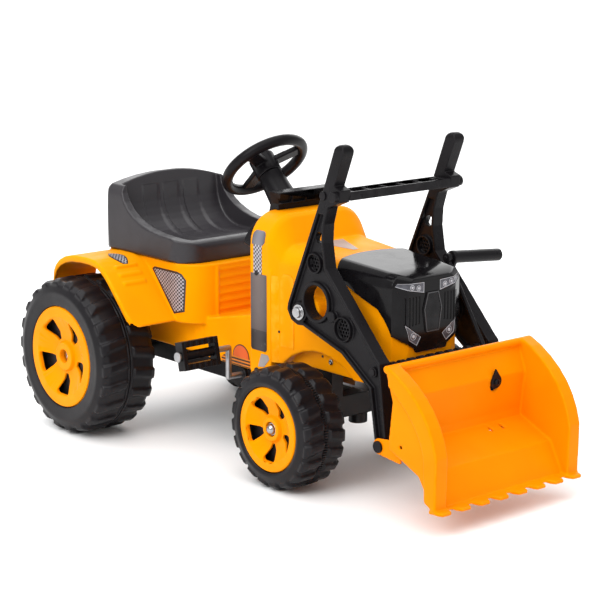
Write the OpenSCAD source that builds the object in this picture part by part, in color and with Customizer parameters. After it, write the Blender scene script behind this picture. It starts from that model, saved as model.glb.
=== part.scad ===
// Pedal ride-on digger with a front loader, built as separate parts on real joints.
// Millimetres, +X forward, +Y to the rider's left, +Z up, ground at Z = 0.

/* [Wheels] */
// Distance between the rear axle and the front axle
wheelbase = 568; // [540:1:600]
// Rear tyre radius over the lugs
rear_r = 160; // [150:1:165]
// Rear tyre width
rear_w = 134; // [120:1:140]
// Distance from the centre plane to the inner face of a rear tyre
rear_in = 169; // [166:1:180]
// Radius where the rear tyre grips its rim
rear_bead = 104; // [96:1:108]
// Front tyre radius over the lugs
front_r = 115.5; // [110:0.5:118]
// Front tyre width
front_w = 104; // [90:1:108]
// Distance from the centre plane to the inner face of a front tyre
front_in = 124; // [122:1:130]
// Radius where the front tyre grips its rim
front_bead = 80; // [74:1:82]
// Height of the tyre lugs
lug_h = 6; // [4:0.5:8]
// Lugs on each half of a rear tyre
rear_lugs = 22; // [16:2:24]
// Lugs on each half of a front tyre
front_lugs = 20; // [14:2:22]
// Windows in a wheel cover
cover_windows = 5; // [4:1:6]

/* [Body] */
// Half width of the seat pedestal
tub_half = 142; // [130:1:150]
// Height of the pedestal top
tub_top = 360; // [350:1:370]
// Rear face of the pedestal
tub_back = -63; // [-80:1:-50]
// Front face of the pedestal
tub_front = 240; // [230:1:250]
// Half width of the spine between pedestal and cowl
spine_half = 105; // [96:1:112]
// Outer edge of a fender
fender_out = 250; // [230:1:262]
// Wall of the moulded shells
wall = 5; // [4:0.5:6]
// Half width of the cowl
cowl_half = 120; // [114:1:122]
// Rear face of the cowl
cowl_back = 390; // [384:1:396]
// Top of the cowl
cowl_top = 487; // [478:1:494]
// Depth of the cowl and its legs from rear to front
cowl_deep = 62; // [54:1:66]
// Front of the bonnet
nose_x = 762; // [754:1:763]
// Half width of the nose at its cheeks
nose_half = 89; // [82:1:91]

/* [Steering] */
// Lean of the steering column above the horizontal
column_angle = 47; // [42:1:52]
// Outer radius of the steering wheel
steer_r = 93; // [86:1:98]
// Radius of the steering wheel grip
grip_r = 11; // [9:0.5:12]
// Radius of the steel column
column_r = 6; // [5:0.5:7]

/* [Drive] */
// Crank axle distance ahead of the rear axle
crank_x = 342; // [336:1:346]
// Crank axle below the rear axle
crank_drop = 2; // [0:1:5]
// Crank throw
throw = 58; // [52:1:60]
// Radius of the bent crank rod
rod_r = 6; // [5:0.5:7]
// Width of a pedal
pedal_w = 88; // [76:1:92]
// Teeth of the crank sprocket
crank_teeth = 18; // [16:1:20]
// Teeth of the axle sprocket
axle_teeth = 12; // [10:1:14]

/* [Loader] */
// Arm pivot distance ahead of the rear axle
pivot_x = 572; // [566:1:578]
// Arm pivot height
pivot_z = 328; // [322:1:334]
// Distance from the centre plane to the inner face of an arm
arm_in = 125; // [125:0.5:130]
// Thickness of an arm
arm_t = 26; // [22:1:28]
// Bucket hinge height
hinge_z = 122; // [118:1:126]
// Bucket hinge distance ahead of the rear axle
hinge_x = 796; // [790:1:800]
// Half width of the bucket over its side plates
bucket_half = 176; // [168:1:180]
// Teeth along the bucket lip
lip_teeth = 8; // [6:1:10]
// Length of the tilt lever grip
lever_grip = 118; // [110:1:140]

/* [Hidden] */
$fn = 48;

// Clearances
run_gap = 0.05;
face_gap = 0.5;
fork_gap = 0.7;

// Shared sizes: the drive hangs at the height of the rear axle
axle_r = 8;
bearing_r = 18;
tub_bottom = rear_r + bearing_r;
crank_z = rear_r - crank_drop;
frame_low = rear_r - 22;
spine_bottom = tub_bottom - 6;
leg_bottom = frame_low + 19;
bucket_front = 981;
x_mid = (bucket_front - rear_r) / 2;
// Lug shape along the tread: steep edge, flat top and ramp
lug_step = 6;
lug_top = 5;
lug_run = 17;
lug_lean = 9;
// Depth of the wheel hub behind the tyre's outer face
hub_end = 24;
// Depth of a wheel cover's rim behind the tyre's outer face
cover_edge = 12;
tyre_wall = 3.5;
nut_gap = 0.3;
nut_r = 12;
nut_t = 10;

// Spreads a part over both sides, or gives its right-hand twin
module place() { translate([-x_mid, 0, 0]) children(); }
module right() { mirror([0, 1, 0]) children(); }
module both() { children(); right() children(); }
module lathe(pts) { rotate([-90, 0, 0]) rotate_extrude() polygon(pts); }
module along_y(r, y0, y1) { translate([0, y0, 0]) rotate([-90, 0, 0]) cylinder(h = y1 - y0, r = r); }
// A side-view outline [x, z] thickened from y0 to y1
module side(pts, y0, y1) { translate([0, y1, 0]) rotate([90, 0, 0]) linear_extrude(y1 - y0) polygon(pts); }
// A front-view outline thickened from x0 to x1, drawn by its child in [y, z]
module front(x0, x1) { translate([x0, 0, 0]) rotate([90, 0, 90]) linear_extrude(x1 - x0) children(); }
module slab(x0, x1, half, z0, z1) { translate([x0, -half, z0]) cube([x1 - x0, 2 * half, z1 - z0]); }
// Rectangle with rounded upper corners, in [y, z]
module arch(half, z0, z1, r) {
  translate([-half, z0]) square([2 * half, z1 - r - z0]);
  translate([-half + r, z0]) square([2 * (half - r), z1 - z0]);
  for (s = [-1, 1]) translate([s * (half - r), z1 - r]) circle(r);
}
// Rectangle with four rounded corners
module round_rect(x0, x1, half, rb, rf) {
  translate([x0, -half + rb]) square([x1 - rf - x0, 2 * (half - rb)]);
  translate([x0 + rb, -half]) square([x1 - rf - x0 - rb, 2 * half]);
  translate([x1 - rf - 1, -half + rf]) square([rf + 1, 2 * (half - rf)]);
  for (s = [-1, 1]) translate([x0 + rb, s * (half - rb)]) circle(rb);
  for (s = [-1, 1]) translate([x1 - rf, s * (half - rf)]) circle(rf);
}
// Points along a curve from a to c that leans towards b
function bend(a, b, c, n = 6) = [for (i = [0 : n])
  let (t = i / n) (1 - t) * (1 - t) * a + 2 * t * (1 - t) * b + t * t * c];
// Outline moved inwards by d, corner by corner, for a counter-clockwise outline
function unit(v) = v / norm(v);
function left_of(v) = [-v[1], v[0]];
function corner(a, b, c, d) =
  let (u = unit(b - a), v = unit(c - b), n = left_of(u), m = left_of(v)) b + d * (n + m) / (1 + n * m);
function inset(p, d) = [for (i = [0 : len(p) - 1])
  corner(p[(i + len(p) - 1) % len(p)], p[i], p[(i + 1) % len(p)], d)];

// Other half of an outline that is the same on both sides
function mirrored(p) = [for (i = [len(p) - 1 : -1 : 0]) [-p[i][0], p[i][1]]];

// Wheels, drawn for the left side with the inner face at y = 0
module tyre(r, w, bead, n) {
  crown = r - lug_h;
  shoulder = 0.13 * w;
  mid = w / 2;
  t = tyre_wall;
  lathe([[bead, 3], [crown - 22, 0], [crown - 8, 5], [crown - 1, shoulder], [crown, mid - 5],
    [crown - 3, mid], [crown, mid + 5], [crown - 1, w - shoulder], [crown - 8, w - 5], [crown - 22, w],
    [bead, w - 3],
    [bead, w - 3 - t], [crown - 22 - t, w - t], [crown - 8 - t, w - 5 - t], [crown - 3 - t, mid],
    [crown - 8 - t, 5 + t], [crown - 22 - t, t], [bead, 3 + t]]);
  intersection() {
    lathe([[crown - 10, 3], [r - 8, 4], [r - 1, shoulder], [r, mid - 8], [crown - 5, mid - 5],
      [crown - 5, mid + 5], [r, mid + 8], [r - 1, w - shoulder], [r - 8, w - 4], [crown - 10, w - 3]]);
    for (i = [0 : n - 1]) {
      rotate([0, i * 360 / n, 0]) lug(r, mid);
      rotate([0, (i + 0.5) * 360 / n, 0]) translate([0, w, 0]) mirror([0, 1, 0]) lug(r, mid);
    }
  }
}
// A lug that climbs from the tread to a steep edge, leaning round the crown
module lug(r, mid) {
  crown = r - lug_h;
  rotate([0, 0, lug_lean]) side([[-lug_step, crown - 6], [lug_run, crown - 6], [lug_run, crown - 2],
    [lug_top, r + 2], [-lug_step, r + 2]], -12, mid - 5);
}
// A rim is a hollow drum, blown with a closed back, whose face lies just behind the cover
blow_r = 3;
module rim(w, bead, bore) {
  end = w - hub_end;
  lip = w - cover_edge;
  face = end - 1;
  hub = 2.2 * axle_r;
  back = 3;
  difference() {
    lathe([[bore, 0], [hub, 0], [hub, back], [bead, back], [bead, lip], [bead - wall, lip],
      [bead - wall, face], [hub, face], [hub, end], [bore, end]]);
    lathe([[hub, back + wall], [bead - wall, back + wall], [bead - wall, face - wall], [hub, face - wall]]);
    translate([0.6 * bead, 0, 0]) along_y(blow_r, back - 1, back + wall + 1);
  }
}
module cover(w, bead) {
  back = w - hub_end;
  edge = w - cover_edge;
  rim_r = bead - 0.4;
  hole = 14;
  ring = 0.78 * bead;
  dish = 0.5 * bead;
  boss = 0.27 * bead;
  difference() {
    lathe([[hole, back], [boss, back], [dish, back + 1], [ring - 6, edge], [rim_r, edge], [rim_r, w - 4],
      [rim_r - 2, w - 2], [ring + 2, w - 2], [ring, w - 3], [dish, back + 7], [boss + 4, back + 6],
      [boss, back + 14], [hole, back + 14]]);
    for (i = [0 : cover_windows - 1]) rotate([0, (i + 0.5) * 360 / cover_windows, 0])
      translate([0, back - 1, 0]) rotate([-90, 0, 0]) linear_extrude(hub_end + 1) cover_window(bead);
  }
}
// Three-cornered window with its point towards the hub
module cover_window(bead) {
  tip = 0.36 * bead;
  base = 0.74 * bead;
  polygon(concat([[-0.05 * bead, -tip], [0.05 * bead, -tip]],
    bend([0.2 * bead, -base + 4], [0.22 * bead, -base - 4], [0, -base - 2], 3),
    bend([0, -base - 2], [-0.22 * bead, -base - 4], [-0.2 * bead, -base + 4], 3)));
}
module rear_at() { translate([0, rear_in, rear_r]) children(); }
module front_at() { translate([wheelbase, front_in, front_r]) children(); }

// Body shell: a closed, blown pedestal with a narrower foot, the spine and two fenders
fender_z = tub_top + 2;
fender_tail = -97;
fender_tip = [184, 245];
fender_lip = 9;
// Top line of a fender: rounded tail, flat top and a slope in front of the wheel
fender_line = concat(
  bend([fender_tail - 6, fender_z - 66], [fender_tail + 4, fender_z - 2], [0, fender_z], 6),
  bend([36, fender_z], [74, fender_z], [104, fender_z - 33], 5), [fender_tip]);
fender_round = 30;
fender_under = [for (i = [len(fender_line) - 1 : -1 : 0])
  let (a = fender_line[max(i - 1, 0)], b = fender_line[min(i + 1, len(fender_line) - 1)],
    u = unit(b - a)) fender_line[i] + wall * [u[1], -u[0]]];
ridges = 3;
ridge_pitch = 21;
ridge_at = [84, fender_z - 14];
spine_low = 258;
spine_high = 286;
groove_half = 80;
groove_pitch = 16;
foot_half = 112;
foot_top = 240;
module fender() {
  intersection() {
    union() {
      side(concat(fender_line, fender_under), tub_half - 1, fender_out);
      difference() {
        side(concat(fender_line, [for (p = fender_under) p + [0, -fender_lip]]),
          fender_out - wall, fender_out);
        translate([0, 0, rear_r]) along_y(rear_r + 6, 0, fender_out + 1);
      }
    }
    linear_extrude(fender_z + 1)
      round_rect(fender_tail - 20, fender_tip[0] + 1, fender_out, fender_round, fender_round);
  }
  for (i = [0 : ridges - 1]) translate([ridge_at[0], 0, ridge_at[1]]) rotate([0, 45, 0])
    translate([ridge_pitch * i - 3, tub_half + 26, -3]) cube([7, 52, 6]);
}
// Pedestal and spine, drawn in by d
module tub_form(d) {
  translate([0, 0, foot_top + d]) linear_extrude(tub_top - foot_top - 2 * d)
    round_rect(tub_back + d, tub_front - d, tub_half - d, 30 - d, 62 - d);
  translate([0, 0, tub_bottom + d]) linear_extrude(foot_top + 20 - tub_bottom)
    round_rect(tub_back + d, tub_front - d, foot_half - d, 30 - d, 40 - d);
  side([[tub_front - 50, tub_bottom + 1 + d], [tub_front - wall + d, tub_bottom + 1 + d],
    [tub_front - wall + d, spine_bottom + d], [cowl_back - d, spine_bottom + d],
    [cowl_back - d, spine_high - d], [tub_front - 50, spine_low - 14 - d]],
    -spine_half + d, spine_half - d);
}
// Tunnel in the underside for the chain and its sprockets, grown by d
module chain_tunnel(d) {
  slab_side(-axle_pr - 10 - d, crank_x + crank_pr + roller_r + 2.5 + d, guard_y - guard_half - d,
    guard_y + guard_half + d, frame_low, crank_z + crank_pr + 10 + d);
}
module body_tub() {
  color("#f79a0d") place() difference() {
    union() {
      tub_form(0);
      both() fender();
      for (i = [0 : 5]) slab(tub_front - 1, tub_front + 2, groove_half, spine_low + 8 + groove_pitch * i,
        spine_low + 11 + groove_pitch * i);
      both() translate([tub_front - 1, groove_half, spine_low]) cube([4, 4, tub_top - spine_low - 6]);
    }
    difference() {
      tub_form(wall);
      chain_tunnel(wall);
    }
    chain_tunnel(0);
    translate([tub_back + 60, 0, tub_bottom - 1]) cylinder(h = 2 * wall, r = blow_r);
  }
}

// Seat
seat_back = tub_back - 2;
seat_front = 214;
seat_top = tub_top + 152;
seat_half = tub_half - 2;
seat_skirt = seat_half + 9;
seat_neck = seat_half - 3;
skirt_z = fender_z + face_gap;
seat_crown_r = 420;
seat_lip = tub_top + 42;
wing_top = tub_top + 52;
pan_low = tub_top + 28;
// Side outline: skirt, front lip, wing sweeping up to the backrest, rolled top
seat_side = concat([[seat_back, tub_top], [seat_front, tub_top]],
  bend([seat_front, seat_lip - 14], [seat_front, seat_lip], [seat_front - 20, seat_lip + 2], 4),
  bend([seat_front - 50, wing_top - 3], [26, wing_top], [-6, seat_top - 34], 7),
  bend([-10, seat_top - 16], [-14, seat_top], [-30, seat_top], 4),
  bend([-36, seat_top], [-54, seat_top], [-58, seat_top - 26], 4));
// Hollow for the rider, from the top of the backrest to the front lip
seat_pan = concat([[-27, seat_top + 1], [-22, seat_top - 30]],
  bend([-18, seat_top - 60], [-2, pan_low], [74, pan_low], 8),
  [[126, pan_low], [190, seat_lip - 6], [202, seat_top + 1]]);
// Front view of one half: foot on the pedestal, skirt over the fenders, sides leaning in to a round corner
seat_edge = concat([[seat_half, tub_top], [seat_half, skirt_z], [seat_skirt, skirt_z]],
  bend([seat_neck + 2, seat_top - 48], [seat_neck, seat_top - 16], [seat_neck - 30, seat_top - 10], 6),
  [[seat_neck - 60, seat_top + 1]]);
// One of the three shallow channels down the backrest, and the hollow underside
channel_deep = 3;
channel_half = 21;
channel_pitch = 52;
seat_channel = concat([[-24, seat_top - 24]],
  bend([-18 - channel_deep, seat_top - 60], [-2 - channel_deep, pan_low - channel_deep],
    [74, pan_low - channel_deep], 8),
  [[112, pan_low + 1], [60, tub_top + 90], [0, seat_top - 24]]);
seat_hollow = [[seat_back + 12, tub_top - 1], [seat_front - 8, tub_top - 1], [seat_front - 8, pan_low - 6],
  [60, pan_low - 8], [20, pan_low - 8], [-20, pan_low + 8], [-32, tub_top + 60], [-40, seat_top - 22],
  [seat_back + 16, tub_top + 36]];
module seat() {
  color("#2d2b2d") place() difference() {
    intersection() {
      side(seat_side, -seat_skirt, seat_skirt);
      translate([0, 0, tub_top]) linear_extrude(seat_top - tub_top)
        round_rect(seat_back, seat_front, seat_skirt, 36, 58);
      front(seat_back - 1, seat_front + 1) intersection() {
        polygon(concat(seat_edge, mirrored(seat_edge)));
        translate([0, seat_top - seat_crown_r]) circle(seat_crown_r, $fn = 120);
      }
    }
    intersection() {
      side(seat_pan, -seat_half, seat_half);
      translate([0, 0, tub_top]) linear_extrude(seat_top)
        round_rect(seat_back + 22, seat_front - 14, seat_half - 18, 20, 44);
    }
    for (i = [-1 : 1])
      side(seat_channel, channel_pitch * i - channel_half, channel_pitch * i + channel_half);
    intersection() {
      side(seat_hollow, -seat_half + 12, seat_half - 12);
      translate([0, 0, tub_top - 1]) linear_extrude(seat_top)
        round_rect(seat_back + 12, seat_front - 8, seat_half - 12, 24, 50);
    }
  }
}

// Bonnet and nose
bonnet_x = cowl_back + cowl_deep + 8;
bonnet_top = 433;
nose_top = 410;
bonnet_bottom = 205;
leg_front = cowl_back + cowl_deep;
arch_r = front_r + 12;
well_half = 88;
boss_r = 24;
mask_skin = 4;
bonnet_half = cowl_half - 6;
// Side line of the mask's lower edge, from its rear point down to the cheek
mask_rear = 604;
cheek_z = 305;
mask_line = concat([[mask_rear - 40, 404]],
  bend([mask_rear, 404], [mask_rear + 70, 366], [nose_x - 42, 350], 5),
  bend([nose_x - 36, 344], [nose_x - 22, 326], [nose_x - 14, cheek_z], 3));
chin_half = 37;
chin_z = 269;
mask_sweep = 190;
// Space that the mask takes: its side line, its chin and a rear edge swept in plan
module mask_zone() {
  reach = cowl_half + 9;
  intersection() {
    side(concat(mask_line, [[nose_x - 14, chin_z - 20], [nose_x + 60, chin_z - 20],
      [nose_x + 60, cowl_top + 60], [mask_rear - 40, cowl_top + 60]]), -reach, reach);
    front(mask_rear - 50, nose_x + 70) polygon([[-reach, cowl_top + 70], [-reach, cheek_z + 6],
      [-nose_half, cheek_z], [-chin_half - 3, chin_z + 8], [-chin_half, chin_z], [chin_half, chin_z],
      [chin_half + 3, chin_z + 8], [nose_half, cheek_z], [reach, cheek_z + 6], [reach, cowl_top + 70]]);
    translate([mask_rear - 14 + mask_sweep, 0, chin_z - 10])
      cylinder(h = cowl_top, r = mask_sweep, $fn = 96);
  }
}
module bonnet_form(d, z0) {
  hull() {
    front(bonnet_x, bonnet_x + 1) arch(bonnet_half + d, z0, bonnet_top + d, 36);
    front(nose_x - 41 + d, nose_x - 40 + d) arch(nose_half + d, z0, nose_top + 2 + d, 28);
    front(nose_x - 17 + d, nose_x - 16 + d) arch(nose_half - 8 + d, z0 + 30, nose_top - 1 + d, 24);
    front(nose_x - 1 + d, nose_x + d) arch(nose_half - 34 + d, z0 + 56, nose_top - 9 + d, 18);
  }
}
module wheel_wells(d) {
  both() translate([wheelbase, 0, front_r]) along_y(arch_r + d, well_half - d, cowl_half + 40);
}
module column_line() { translate(steer_c) rotate([0, 90 + column_angle, 0]) children(); }
module bonnet_solid() {
  front(cowl_back, leg_front - 8) arch(cowl_half, bonnet_top - 60, cowl_top, 60);
  slab(cowl_back, leg_front, cowl_half, leg_bottom, bonnet_top - 50);
  hull() {
    front(leg_front - 9, leg_front - 8) arch(cowl_half, bonnet_top - 60, cowl_top, 60);
    front(leg_front - 1, leg_front) arch(cowl_half - 2, bonnet_top - 60, cowl_top - 7, 58);
    front(bonnet_x + 16, bonnet_x + 17) arch(bonnet_half - 3, bonnet_top - 70, bonnet_top, 36);
  }
  bonnet_form(0, bonnet_bottom);
}
module bonnet() {
  color("#f79a0d") place() difference() {
    union() {
      difference() {
        bonnet_solid();
        wheel_wells(0);
        difference() {
          union() {
            bonnet_form(-wall, bonnet_bottom - 60);
            front(cowl_back + wall, bonnet_x + 5)
              arch(bonnet_half - 2 * wall, leg_bottom - 1, bonnet_top - 2 * wall, 34);
            front(cowl_back + wall, leg_front - wall - 4)
              arch(bonnet_half - 2 * wall, leg_bottom - 1, cowl_top - wall - 3, 52);
          }
          wheel_wells(wall);
        }
        slab(cowl_back - 1, cowl_back + wall + 1, spine_half - wall, leg_bottom - 1, spine_high - wall);
      }
      both() translate([pivot_x, 0, pivot_z]) along_y(boss_r, well_half, arm_in - face_gap);
    }
    mask_zone();
    both() translate([pivot_x, 0, pivot_z]) along_y(pin_r, well_half - 1, arm_in);
    translate(steer_c) rotate([0, 90 + column_angle, 0]) cylinder(h = 260, r = 3 * column_r);
  }
}
// Front panel of the mask in [y, z]: a tall hexagon between fluted fields
hex_top = 378;
hex_low = 304;
hex_half = 23;
hexagon = [[-14, hex_top], [-hex_half, hex_top - 31], [-16, hex_low],
  [16, hex_low], [hex_half, hex_top - 31], [14, hex_top]];
hex_proud = 2.5;
flute_deep = 2;
module nose_mask() {
  color("#1b1b1e") place() difference() {
    union() {
      intersection() {
        bonnet_form(mask_skin, bonnet_bottom);
        mask_zone();
      }
      intersection() {
        bonnet_form(mask_skin + hex_proud, bonnet_bottom);
        front(nose_x - 14, nose_x + 20) polygon(hexagon);
      }
    }
    bonnet_form(-wall, bonnet_bottom - 60);
    lamp_places();
    difference() {
      both() for (i = [0 : 4]) front(nose_x - 30, nose_x + 20)
        polygon([[30 + 8 * i, 322 - i], [33.5 + 8 * i, 322 - i], [33.5 + 8 * i, 372], [30 + 8 * i, 372]]);
      bonnet_form(mask_skin - flute_deep, bonnet_bottom);
    }
  }
}
// Lamp lenses sit in pockets of the mask, drawn in [y, z]
head_lamp = [[20, 378], [58, 386], [80, 394], [76, 399], [20, 397]];
fog_lamp = [[63, 322], [45, 309], [27, 297], [37, 282], [56, 294]];
module lamp_places() {
  both() for (lamp = [head_lamp, fog_lamp]) front(nose_x - 40, nose_x + 20) polygon(lamp);
}
module lamp_lenses() {
  color("#e8edf0") place() intersection() {
    lamp_places();
    difference() {
      bonnet_form(mask_skin - 1, bonnet_bottom);
      bonnet_form(mask_skin - 8, bonnet_bottom - 60);
    }
  }
}

// Dashboard with the column sleeve
steer_c = [290, 0, 556];
sleeve_r = 24;
dash_half = 71;
dash_foot = [cowl_back - 30, 424];
dash_top = cowl_top + 36;
dash_sill = cowl_top + 12;
dash_pitch = 34;
module dashboard() {
  color("#2a292b") place() difference() {
    union() {
      intersection() {
        side([dash_foot, [cowl_back, dash_foot[1] - 8], [cowl_back, cowl_top], [cowl_back + 16, cowl_top],
          [cowl_back + 16, dash_sill - 1], [cowl_back + 24, dash_sill], [cowl_back + 31, dash_top],
          [cowl_back - 2, dash_top]], -dash_half, dash_half);
        front(dash_foot[0] - 10, cowl_back + 40) polygon([[-dash_half + 9, dash_foot[1] - 9],
          [dash_half - 9, dash_foot[1] - 9], [dash_half - 9, dash_sill], [dash_half, dash_top],
          [-dash_half, dash_top], [-dash_half + 9, dash_sill]]);
      }
      intersection() {
        side([dash_foot, [cowl_back, dash_foot[1] - 8], [cowl_back, cowl_top - 6],
          [cowl_back - 8, cowl_top - 8]], -cowl_half, cowl_half);
        front(dash_foot[0] - 10, cowl_back + 1) arch(cowl_half - 7, dash_foot[1] - 24, cowl_top - 6, 58);
      }
      column_line() translate([0, 0, hub_low_end + face_gap])
        cylinder(h = 88, r1 = sleeve_r, r2 = sleeve_r + 6);
    }
    for (i = [-1.5 : 1.5]) side([[cowl_back + 18, dash_sill + 3], [cowl_back + 40, dash_sill + 3],
      [cowl_back + 40, dash_top - 3], [cowl_back + 23, dash_top - 3]],
      dash_pitch * i - dash_pitch / 2 + 2, dash_pitch * i + dash_pitch / 2 - 2);
    column_line() cylinder(h = 260, r = column_r + run_gap);
  }
}

// Frame under the tub with the axle and crank bearings
rail_out = 96;
rail_in = 89;
crank_boss_r = spine_bottom - crank_z - 1;
guard_y = 33;
guard_half = 17;
// Underside of the frame, from its tail to the cowl
frame_line = [[-44, frame_low + 4], [30, frame_low], [crank_x + 30, frame_low],
  [cowl_back + 30, frame_low + 12]];
module under_frame() {
  color("#232224") place() difference() {
    union() {
      both() side(concat(frame_line, [[cowl_back + 30, spine_bottom], [tub_front - wall, spine_bottom],
        [tub_front - wall, tub_bottom], [-44, tub_bottom]]), rail_in, rail_out);
      side(concat(frame_line, [[cowl_back + 30, frame_low + 17], [crank_x + 29, frame_low + 5],
        [31, frame_low + 5], [-44, frame_low + 9]]), -rail_out, rail_out);
      both() for (x = [30, 170]) slab_side(x, x + 24, rail_in, foot_half, tub_bottom - 8, tub_bottom);
      both() translate([crank_x, 0, crank_z]) along_y(crank_boss_r, rail_in - 8, rail_out + 8);
      both() translate([0, 0, rear_r]) along_y(bearing_r, rail_in - 8, rail_out + 3);
      both() slab_side(cowl_back, cowl_back + 30, rail_in, cowl_half - wall, leg_bottom - 7, leg_bottom);
    }
    both() translate([crank_x, 0, crank_z]) along_y(rod_r + run_gap, 0, tub_half);
    both() translate([0, 0, rear_r]) along_y(axle_r + 4, 0, tub_half);
    translate([-60, guard_y - guard_half, frame_low - 5]) cube([crank_x + 108, 2 * guard_half, 30]);
    both() for (x = [60 : 50 : 260])
      translate([x, guard_y + guard_half + 11, frame_low - 1]) cube([26, 20, 8]);
  }
}
module slab_side(x0, x1, y0, y1, z0, z1) { translate([x0, y0, z0]) cube([x1 - x0, y1 - y0, z1 - z0]); }
module rear_bearings() {
  color("#1f1e20") place() both() translate([0, 0, rear_r]) difference() {
    union() {
      along_y(axle_r + 4, rail_in - 8, rear_in - 4);
      along_y(bearing_r - 1, rail_out + 3, rear_in - 3);
    }
    along_y(axle_r + run_gap, 0, rear_in);
  }
}

// Chain drive between crank and rear axle
pitch = 12.7;
roller_r = 3.8;
crank_pr = pitch / (2 * sin(180 / crank_teeth));
axle_pr = pitch / (2 * sin(180 / axle_teeth));
chain_rise = crank_z - rear_r;
chain_span = norm([crank_x, chain_rise]);
chain_slope = atan2(chain_rise, crank_x);
wrap = asin((crank_pr - axle_pr) / chain_span);
// Points on an arc about c, from angle a0 to a1
function arc(c, r, a0, a1, n = 14) = [for (i = [0 : n])
  let (a = a0 + (a1 - a0) * i / n) c + r * [cos(a), sin(a)]];
// The chain's run round both sprockets, moved outwards by d
module loop(d) {
  upper = chain_slope + 90 + wrap;
  lower = chain_slope - 90 - wrap;
  polygon(concat(arc([crank_x, crank_z], crank_pr + d, lower, upper),
    arc([0, rear_r], axle_pr + d, upper, lower + 360)));
}
module loop_band(outer, inner, y0, y1) {
  translate([0, y1, 0]) rotate([90, 0, 0]) linear_extrude(y1 - y0) difference() {
    loop(outer);
    loop(inner);
  }
}
module drive_chain() {
  color("#8d8f92") place() union() {
    for (y = [guard_y - 4, guard_y + 4]) loop_band(roller_r + 1, -roller_r + 0.2, y - 0.8, y + 0.8);
    loop_band(roller_r - 0.4, -roller_r + 0.8, guard_y - 4, guard_y + 4);
  }
}
module sprocket(n, pr, bore) {
  tip = pr - roller_r;
  difference() {
    along_y(tip, guard_y - 2, guard_y + 2);
    for (i = [0 : n - 1]) rotate([0, i * 360 / n, 0])
      translate([tip + 1.2, 0, 0]) along_y(3.2, guard_y - 3, guard_y + 3);
    along_y(bore, guard_y - 3, guard_y + 3);
  }
}
module chain_guard() {
  color("#232224") place() intersection() {
    translate([0, guard_y + guard_half, 0]) rotate([90, 0, 0]) difference() {
      linear_extrude(2 * guard_half) loop(roller_r + 8);
      translate([0, 0, 3]) linear_extrude(2 * guard_half - 6) loop(roller_r + 5);
    }
    side([[-60, 60], [crank_x + 70, 60], [crank_x + 70, frame_low + 6.6], [crank_x + 30, frame_low + 5],
      [30, frame_low + 5], [-44, frame_low + 9], [-60, frame_low + 9]], 0, tub_half);
  }
}

// Rear axle with its wheels
axle_end = rear_in + rear_w - hub_end + nut_gap;
module rear_axle() {
  color("#b9bcc0") place() translate([0, 0, rear_r]) along_y(axle_r, -axle_end, axle_end);
}
module axle_sprocket() {
  color("#77797c") place() translate([0, 0, rear_r]) sprocket(axle_teeth, axle_pr, axle_r);
}
module axle_screws() {
  color("#9b9da0") place() both() translate([0, axle_end, rear_r]) difference() {
    along_y(12, 0, 4);
    rotate([-90, 0, 0]) translate([0, 0, 2]) cylinder(h = 3, r = 5, $fn = 6);
  }
}
module rear_tyre() { rear_at() tyre(rear_r, rear_w, rear_bead, rear_lugs); }
module rear_tyre_left() { color("#2b2a2b") place() rear_tyre(); }
module rear_rim_left() { color("#232224") place() rear_at() rim(rear_w, rear_bead, axle_r + run_gap); }
module rear_cover_left() { color("#f7a512") place() rear_at() cover(rear_w, rear_bead); }
module rear_tyre_right() { color("#2b2a2b") place() right() rear_tyre(); }
module rear_rim_right() { color("#232224") place() right() rear_at() rim(rear_w, rear_bead, axle_r); }
module rear_cover_right() { color("#f7a512") place() right() rear_at() cover(rear_w, rear_bead); }

// Pedal crank: one bent steel rod, right pedal up and left pedal down
web_y = 136;
pedal_in = web_y + 30;
spindle_end = pedal_in + pedal_w + 4;
// Left end of the crank: web, spindle and the collar that keeps the pedal on
module crank_end() {
  translate([0, web_y, 0]) sphere(rod_r);
  translate([0, web_y, -throw]) sphere(rod_r);
  translate([0, web_y, -throw]) cylinder(h = throw, r = rod_r);
  translate([0, 0, -throw]) along_y(rod_r, web_y, spindle_end);
  translate([0, 0, -throw]) along_y(rod_r + 4, spindle_end, spindle_end + 3);
}
module crank_rod() {
  color("#c3c6ca") place() translate([crank_x, 0, crank_z]) {
    along_y(rod_r, -web_y, web_y);
    crank_end();
    rotate([180, 0, 0]) crank_end();
  }
}
module crank_sprocket() {
  color("#77797c") place() translate([crank_x, 0, crank_z]) sprocket(crank_teeth, crank_pr, rod_r);
}
pedal_tilt = 13;
pedal_bar = 22;
pedal_t = 22;
// A pedal: two tread bars on end plates around the spindle sleeve
module pedal() {
  y0 = pedal_in + face_gap;
  y1 = pedal_in + pedal_w - face_gap;
  rotate([0, -pedal_tilt, 0]) difference() {
    union() {
      for (s = [-1, 1]) {
        translate([-pedal_t / 2, y0, s * pedal_bar - 6]) cube([pedal_t, y1 - y0, 12]);
        for (k = [-1, 1]) for (i = [0 : 5])
          translate([k * pedal_t / 2 - 1.5, y0 + 6 + 14 * i, s * pedal_bar - 6]) cube([3, 5, 12]);
      }
      for (y = [y0, y1 - 9])
        translate([-pedal_t / 2, y, -pedal_bar - 4]) cube([pedal_t, 9, 2 * pedal_bar + 8]);
      along_y(rod_r + 3, y0, y1);
    }
    along_y(rod_r + run_gap, y0 - 1, y1 + 1);
  }
}
module pedal_left() { color("#242325") place() translate([crank_x, 0, crank_z - throw]) pedal(); }
module pedal_right() { color("#242325") place() translate([crank_x, 0, crank_z + throw]) right() pedal(); }

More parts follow.
